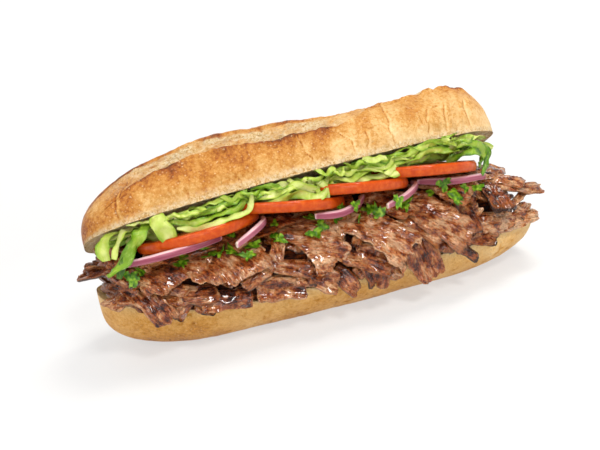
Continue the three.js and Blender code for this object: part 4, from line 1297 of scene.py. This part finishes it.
# control points of each shown shred, then its width, its twist in degrees, its ruffle and how green it is
shownShreds = [
    ([(-104, -16, 77), (-115, -27, 78), (-121, -34, 74), (-121.5, -38, 64)], 8, 10, 0.9, 0.3),
    ([(-94, -28, 82), (-104, -39, 76), (-113, -43, 67), (-121, -44, 62)], 7, 15, 0.8, 0.85),
    ([(-106, -40, 72), (-113, -43, 66), (-117, -44, 58.5)], 4, -10, 0.5, 0.95),
    ([(-92, -32, 85), (-90.5, -40, 81), (-87, -41, 73), (-85, -40, 69)], 9, 5, 0.9, 0.42),
    ([(-100, -20, 79), (-109, -30, 79), (-114, -37, 75), (-117, -40, 70)], 5, 30, 0.8, 0.35),
    ([(-84, -38, 78), (-72, -42, 76), (-58, -43, 78.5), (-46, -40, 80), (-41.5, -36, 89)], 8, 25, 1.6, 0.4),
    ([(-76, -34, 82), (-62, -38, 84), (-48, -36, 86), (-36, -34, 86)], 7, -30, 2, 0.5),
    ([(-42, -36, 82), (-30, -41, 82), (-18, -40, 84), (-6, -41, 80), (2, -38, 84)], 10, 20, 2.4, 0.4),
    ([(-10, -36, 85), (-3, -41, 82), (-2, -42, 76)], 7, 0, 1, 0.35),
    ([(2, -34, 83), (14, -41, 81), (26, -40, 84), (38, -40, 84), (46, -34, 87)], 9, -20, 2.4, 0.45),
    ([(20, -34, 88), (30, -40, 88), (38, -41, 83), (50, -36, 84)], 8, 30, 2, 0.4),
    ([(40, -34, 86), (52, -40, 88), (64, -38, 91), (78, -39, 88), (86, -34, 86)], 7, 15, 2.6, 0.45),
    ([(56, -32, 90), (66, -37, 90), (74, -36, 91)], 9, 40, 1.5, 0.8),
    ([(74, -32, 82), (86, -38, 86), (96, -36, 83), (99, -32, 75)], 10, -10, 2, 0.6),
    ([(88, -28, 84), (98, -30, 84), (106, -29, 79), (97, -36, 70)], 7, 20, 1.6, 0.8),
    ([(92, -22, 84), (102, -24, 84), (111, -24, 80)], 4.5, 0, 0.8, 0.15),
]


# a strip of leaf along a run of points, ruffled along its edges and a little twisted
def addShred(gather, k, path, width, twist, ruffle, greenness, cell=lettuce["cell"]):
    length = sum(math.dist(a, b) for a, b in zip(path, path[1:]))
    rows = max(10, int(length / cell))
    columns = max(4, int(width / cell / 1.1))
    points, tangent, even = smoothRun(path, rows)
    tilt = math.radians(lettuce["faceTilt"])
    face = np.array([0, -math.cos(tilt), math.sin(tilt)])
    side = unit(np.cross(tangent, face))
    share = even / even[-1]
    wander = 55 * noise(even / 10, 0 * even, 0, 91 + k)
    turn = np.radians(twist * (2 * share - 1) + spread(k, 31, 12) + wander)
    side = side * np.cos(turn)[:, None] + np.cross(tangent, side) * np.sin(turn)[:, None]
    normal = unit(np.cross(side, tangent))
    across = np.linspace(-1, 1, columns + 1)[None, :]
    s = share[:, None]
    u = even[:, None] * np.ones_like(across)
    narrow = 1 - 0.5 * np.abs(2 * s - 1) ** 4 + 0.16 * noise(u / 5, np.sign(across) + 0 * u, 0, 93 + k)
    narrow = lettuce["narrowing"] * narrow
    wave = ruffle * 0.5 * np.sin(9 * s + 2.2 * across + 6 * draw(k, 32)) * (0.4 + 0.6 * np.abs(across))
    frill = (0.25 + 0.75 * np.abs(across) ** 2) * ruffle * 0.7
    frill = frill * noise(u / 3.6, across * 0.5 + 0 * u, 0, 95 + k)
    # sharp creases where the leaf is folded
    pucker = 0.6 - 1.5 * np.abs(noise(u / 4.5, across * width / 9, 0, 97 + k))
    lift = wave + frill + pucker
    centre = points[:, None, :] + side[:, None, :] * (across * width / 2 * narrow)[..., None]
    half = lettuce["thickness"] / 2 * (1.3 - 0.8 * np.clip(np.abs(across) + 0 * s, 0, 1))
    outer = centre + normal[:, None, :] * (lift + half)[..., None]
    inner = centre + normal[:, None, :] * (lift - half)[..., None]
    # pressed flat under the top half, with its two faces still apart
    upward = normal[:, None, 2] > 0
    for layer, isLower in ((outer, ~upward), (inner, upward)):
        lid = topUnderside(layer[..., 0], layer[..., 1]) - lettuce["gap"]
        layer[..., 2] = np.minimum(layer[..., 2], lid - np.where(isLower, lettuce["thickness"], 0))
    green = greenness + 0.3 * np.abs(across) ** 2 - 0.12 + 0.18 * noise(u / 9, across + 0 * u, 0, 99 + k)
    grain = np.stack(np.broadcast_arrays(u, across * width / 2, np.full(u.shape, 11.3 * k)), -1)
    grain = grain.reshape(-1, 3)
    gather.add(np.concatenate([outer.reshape(-1, 3), inner.reshape(-1, 3)]), sheetFaces(rows, columns), {
        "grain": np.concatenate([grain, grain]),
        "green": np.concatenate([green.ravel(), green.ravel()]),
    })


# the shreds that the photograph shows, the wide ones cut in strips
def addShownShreds(gather):
    number = 0
    for path, width, twist, ruffle, greenness in shownShreds:
        strips = max(1, round(width / lettuce["strip"])) if number >= lettuce["wholeShreds"] else 1
        path = np.array(path, float)
        run = unit(np.gradient(path, axis=0))
        aside = unit(np.cross(run, np.array([0, -0.82, 0.57])))
        for j in range(strips):
            number += 1
            shift = (j - (strips - 1) / 2) * width / strips
            jitter = np.array([spread(number, 61, 1.2), spread(number, 62, 1.2), spread(number, 63, 0.8)])
            moved = path + aside * shift + jitter
            moved[0] += run[0] * spread(number, 64, 4)
            moved[-1] += run[-1] * spread(number, 65, 3)
            twisted = twist + spread(number, 66, 25)
            greened = greenness - 0.08 + spread(number, 67, 0.2)
            addShred(gather, number, moved, width / strips * 1.2, twisted, 0.7 * ruffle, greened)


# packed shreds between the tomatoes and the top half
def addFillers(gather):
    for k in range(lettuce["fillers"]):
        x = mix(*lettuce["fillerSpan"], (k + 0.5) / lettuce["fillers"]) + spread(k, 41, 6)
        depth = draw(k, 42)
        y = mix(-36, -12, depth) * (1 - 0.25 * abs(x / 120) ** 4)
        z = topUnderside(x, y) - mix(*lettuce["fillerDepth"], draw(k, 43)) * (1 - 0.4 * depth)
        reach = 9 + 9 * draw(k, 44)
        lean = spread(k, 45, 3)
        path = [(x - reach, y + spread(k, 46, 4), z + spread(k, 47, 3)), (x - reach / 3, y - 2, z + lean),
                (x + reach / 3, y - 1, z - lean), (x + reach, y + spread(k, 48, 4), z + spread(k, 49, 3))]
        number = firstNumber["fillers"] + k
        addShred(gather, number, path, 2.5 + 3.5 * draw(k, 50), spread(k, 51, 80), 0.8 + 1.2 * draw(k, 52),
                 0.05 + 0.55 * draw(k, 53), lettuce["fillerCell"])


# curls that stick out between the two halves at the front
def addCurls(gather):
    for k in range(lettuce["curls"]):
        x = mix(*lettuce["curlSpan"], (k + 0.5) / lettuce["curls"]) + spread(k, 71, 3)
        y = -37 * (1 - 0.2 * abs(x / 120) ** 4) + spread(k, 72, 2)
        z = topUnderside(x, y) - 2.5 - 4 * draw(k, 73)
        tilt = spread(k, 74, 1)
        reach = 5 + 4 * draw(k, 75)
        path = [(x - reach, y + 2, z - 3 * tilt), (x - reach / 3, y - 2.5, z + 1.5 * tilt),
                (x + reach / 3, y - 2.5, z - 1.5 * tilt), (x + reach, y + 1, z + 3 * tilt - 1.5)]
        number = firstNumber["curls"] + k
        addShred(gather, number, path, 2.2 + 2.2 * draw(k, 76), spread(k, 77, 90), 0.8,
                 0.1 + 0.5 * draw(k, 78))


# the edge of the lettuce along the back
def addBackShreds(gather):
    for k in range(lettuce["backFillers"]):
        x = mix(*lettuce["backSpan"], (k + 0.5) / lettuce["backFillers"]) + spread(k, 54, 6)
        y = 22 + spread(k, 55, 9)
        reach = 13 + spread(k, 56, 4)
        path = []
        for step, out in ((-1, -3), (-0.35, 4), (0.35, 6), (1, 2)):
            px = x + step * reach
            py = y + out
            path.append((px, py, topUnderside(px, py) - 1.5 - 3 * draw(k, 57)))
        number = firstNumber["backShreds"] + k
        addShred(gather, number, path, 5 + 3 * draw(k, 58), spread(k, 59, 40), 1.8,
                 0.2 + 0.5 * draw(k, 60), lettuce["backCell"])


def makeLettuce():
    front = Gather()
    addShownShreds(front)
    addFillers(front)
    addCurls(front)
    back = Gather()
    addBackShreds(back)
    return [front.piece("lettuce_shreds", lettuceMaterial, "lettuce", ["lettuce"]),
            back.piece("lettuce_back", lettuceMaterial, "lettuce", ["lettuce"])]


fillings.extend(makeLettuce())
print("lettuce made")


# the camera stands at the photograph's angle: a little to the left of the front and 18 degrees above it
cameraSet = {
    "target": (-0.006, 0.0, 0.050),
    "azimuth": 15.5,
    "elevation": 18.0,
    "distance": 0.48,
    "roll": -8.0,
    "lens": 48,
    "sensor": 36,
    "photoSize": (600, 450),
}
lens = bpy.data.cameras.new("camera")
lens.lens = cameraSet["lens"]
lens.sensor_width = cameraSet["sensor"]
lens.clip_start = 0.01
camera = bpy.data.objects.new("camera", lens)
bpy.context.scene.collection.objects.link(camera)
aside = math.radians(cameraSet["azimuth"])
above = math.radians(cameraSet["elevation"])
backward = Vector((-math.sin(aside) * math.cos(above), -math.cos(aside) * math.cos(above), math.sin(above)))
camera.location = Vector(cameraSet["target"]) + backward * cameraSet["distance"]
roll = Matrix.Rotation(math.radians(cameraSet["roll"]), 3, "Z")
turnTo = backward.to_track_quat("Z", "Y").to_matrix() @ roll
camera.rotation_euler = turnTo.to_euler()
bpy.context.scene.camera = camera


parsley = {
    "thickness": 0.3,
    "size": (3.4, 5.6),
    "rings": 5,
    "rimPoints": 26,
    # column and row of the photograph where each pinch shows: it lies on whatever filling is there
    "pinches": [
        (132, 279), (141, 273), (180, 258), (183, 265), (203, 250), (213, 252), (222, 252), (232, 250),
        (232, 237), (253, 246), (249, 257), (273, 226), (280, 239), (277, 237), (311, 220), (319, 225),
        (315, 233), (336, 218), (340, 207), (354, 207), (357, 219), (368, 212), (379, 215), (398, 201),
        (407, 203), (430, 193), (443, 184), (454, 194), (456, 200), (464, 189), (474, 188),
    ],
}


# where the line of sight through a column and row of the photograph meets the fillings
def seatOnFilling(trees, column, row, number):
    wide, high = cameraSet["photoSize"]
    focal = cameraSet["lens"] / cameraSet["sensor"] * wide
    away = Vector(((column + spread(number, 101, 2.5) - wide / 2) / focal,
                   (high / 2 - row + spread(number, 102, 2.0)) / focal, -1))
    hits = [tree.ray_cast(camera.location, (turnTo @ away).normalized()) for tree in trees]
    hits = [hit for hit in hits if hit[0] is not None]
    if not hits:
        return None
    hit = min(hits, key=lambda found: found[3])
    normal = np.array(hit[1] if hit[1].dot(backward) > 0 else -hit[1])
    out = unit(normal + np.array([0, -0.4, 0.7]))
    seat = np.array(hit[0]) * 1000 + out * (0.5 + 0.8 * draw(number, 103))
    return seat, out


# one bit of leaf, a little curled: three leaflets with a toothed edge
def addLeafBit(gather, number, seat, out):
    tipped = [spread(number, 104, 0.5), spread(number, 105, 0.4), spread(number, 106, 0.4)]
    facing = Vector(unit(out + np.array(tipped)))
    spin = Matrix.Rotation(6.28 * draw(number, 107), 3, "Z")
    turn = facing.to_track_quat("Z", "Y").to_matrix() @ spin
    rings, angles = parsley["rings"], parsley["rimPoints"]
    t = np.linspace(0, 2 * math.pi, angles, endpoint=False)[None, :]
    r = np.linspace(0.08, 1, rings)[:, None]
    lobes = 0.64 + 0.27 * np.cos(3 * t + 0.4) + 0.1 * np.cos(9 * t)
    lobes = lobes + 0.07 * np.cos(13 * t + 6 * draw(number, 108))
    size = mix(*parsley["size"], draw(number, 109))
    px = size * r * lobes * np.cos(t) * (1.25 + spread(number, 110, 0.25))
    py = size * r * lobes * np.sin(t) * (0.85 + spread(number, 111, 0.2))
    pz = 0.14 * px * np.abs(px) * spread(number, 112, 1) + 0.1 * py * py * spread(number, 113, 1)
    pz = pz + 0.35 * noise(px / 1.6, py / 1.6, 0, number)
    flat = np.stack([px, py, pz], -1).reshape(-1, 3)
    thick = np.array([0, 0, parsley["thickness"] / 2])
    local = np.concatenate([flat + thick, flat - thick])
    layer = rings * angles
    upper = gridFaces(rings - 1, angles, closed=True)
    faces = upper.tolist() + (upper[:, ::-1] + layer).tolist()
    # the rim, then the middle of the upper and the lower side
    rim = [(rings - 1) * angles + j for j in range(angles)]
    faces += [[a, a + layer, b + layer, b] for a, b in zip(rim, rim[1:] + rim[:1])]
    faces.append(list(range(angles)))
    faces.append([layer + j for j in range(angles)][::-1])
    placed = local @ np.array(turn).T + seat
    gather.add(placed, faces, {"grain": np.concatenate([flat, flat]) + 7.1 * number})


def makeParsley():
    trees = []
    for piece in fillings:
        coords = [tuple(v.co) for v in piece.data.vertices]
        trees.append(BVHTree.FromPolygons(coords, [tuple(p.vertices) for p in piece.data.polygons]))
    gather = Gather()
    number = 0
    for k, (column, row) in enumerate(parsley["pinches"]):
        for bit in range(1 + int(1.8 * draw(k, 100))):
            number += 1
            found = seatOnFilling(trees, column, row, number)
            if found:
                addLeafBit(gather, number, *found)
    return gather.piece("parsley_chopped", parsleyMaterial, "lettuce")


makeParsley()
print("parsley made")


# lengths in metres
floorLook = {
    "colour": "#959595",
    "nearGlow": 0.55,
    "farGlow": 0.92,
    "glowFrom": 0.3,
    "glowTo": 1.5,
    "flat": 1.6,
    "radius": 4.0,
    "rise": 0.35,
    "sides": 96,
}
floorMaterial, floorTree, floorShader = newMaterial("glowingBoard", {
    "Roughness": 0.7,
    "Specular IOR Level": 0.2,
})
floorShader.inputs["Base Color"].default_value = linear(floorLook["colour"])
floorShader.inputs["Emission Color"].default_value = linear("#FFFFFF")
# painted light: the board glows though it is no lamp, more the further away it is, as a lit studio backdrop
# does
floorPlace = addNode(floorTree, "TexCoord").outputs["Object"]
floorReach = addNode(floorTree, "VectorMath", {"operation": "LENGTH"}, {0: floorPlace}).outputs["Value"]
floorGlow = addNode(floorTree, "MapRange", {
    "From Min": floorLook["glowFrom"],
    "From Max": floorLook["glowTo"],
    "To Min": floorLook["nearGlow"],
    "To Max": floorLook["farGlow"],
}, {"Value": floorReach})
floorTree.links.new(floorGlow.outputs[0], floorShader.inputs["Emission Strength"])
# a round floor that sweeps up at its rim, like a studio cove
floorRings = np.concatenate([[0.01, 0.8], np.linspace(floorLook["flat"], floorLook["radius"], 14)])
floorTurn = np.linspace(0, 2 * math.pi, floorLook["sides"], endpoint=False)
floorR, floorT = np.meshgrid(floorRings, floorTurn, indexing="ij")
floorZ = floorLook["rise"] * np.maximum(0, floorR - floorLook["flat"]) ** 2
floorPoints = np.stack([floorR * np.cos(floorT), floorR * np.sin(floorT), floorZ], -1).reshape(-1, 3) * 1000
floorFaces = gridFaces(len(floorRings) - 1, floorLook["sides"], closed=True).tolist()
floorFaces.append(list(range(floorLook["sides"])))
floorPiece = meshPiece("floor", floorPoints, floorFaces, floorMaterial, None)

lights = {
    # place in metres, size, power, colour
    "keySoftbox": ((0.35, 0.05, 1.1), 0.45, 8.5, "#FFFAF2"),
    "ceilingBox": ((0.0, 0.2, 2.2), 2.4, 17, "#FFFFFF"),
    "frontFill": ((-0.4, -1.4, 0.25), 0.9, 5, "#FFFFFF"),
    "leftFill": ((-0.8, -0.8, 0.95), 0.6, 6, "#FFF8F0"),
    "sparkle": ((0.15, -0.85, 0.95), 0.24, 8, "#FFFFFF"),
}
lightsAim = Vector((0, 0, 0.05))
for name, (place, size, power, colour) in lights.items():
    data = bpy.data.lights.new(name, "AREA")
    data.shape = "DISK"
    data.size = size
    data.energy = power
    data.color = linear(colour)[:3]
    lamp = bpy.data.objects.new(name, data)
    lamp.location = place
    lamp.rotation_euler = (lightsAim - Vector(place)).to_track_quat("-Z", "Y").to_euler()
    bpy.context.scene.collection.objects.link(lamp)

worldLook = {"colour": "#FFFFFF", "strength": 0.12}
world = bpy.data.worlds.new("studio")
world.use_nodes = True
background = world.node_tree.nodes["Background"]
background.inputs["Color"].default_value = linear(worldLook["colour"])
background.inputs["Strength"].default_value = worldLook["strength"]
bpy.context.scene.world = world
bpy.context.scene.view_settings.view_transform = "Standard"

bpy.context.view_layer.update()
print("floor and lights set")
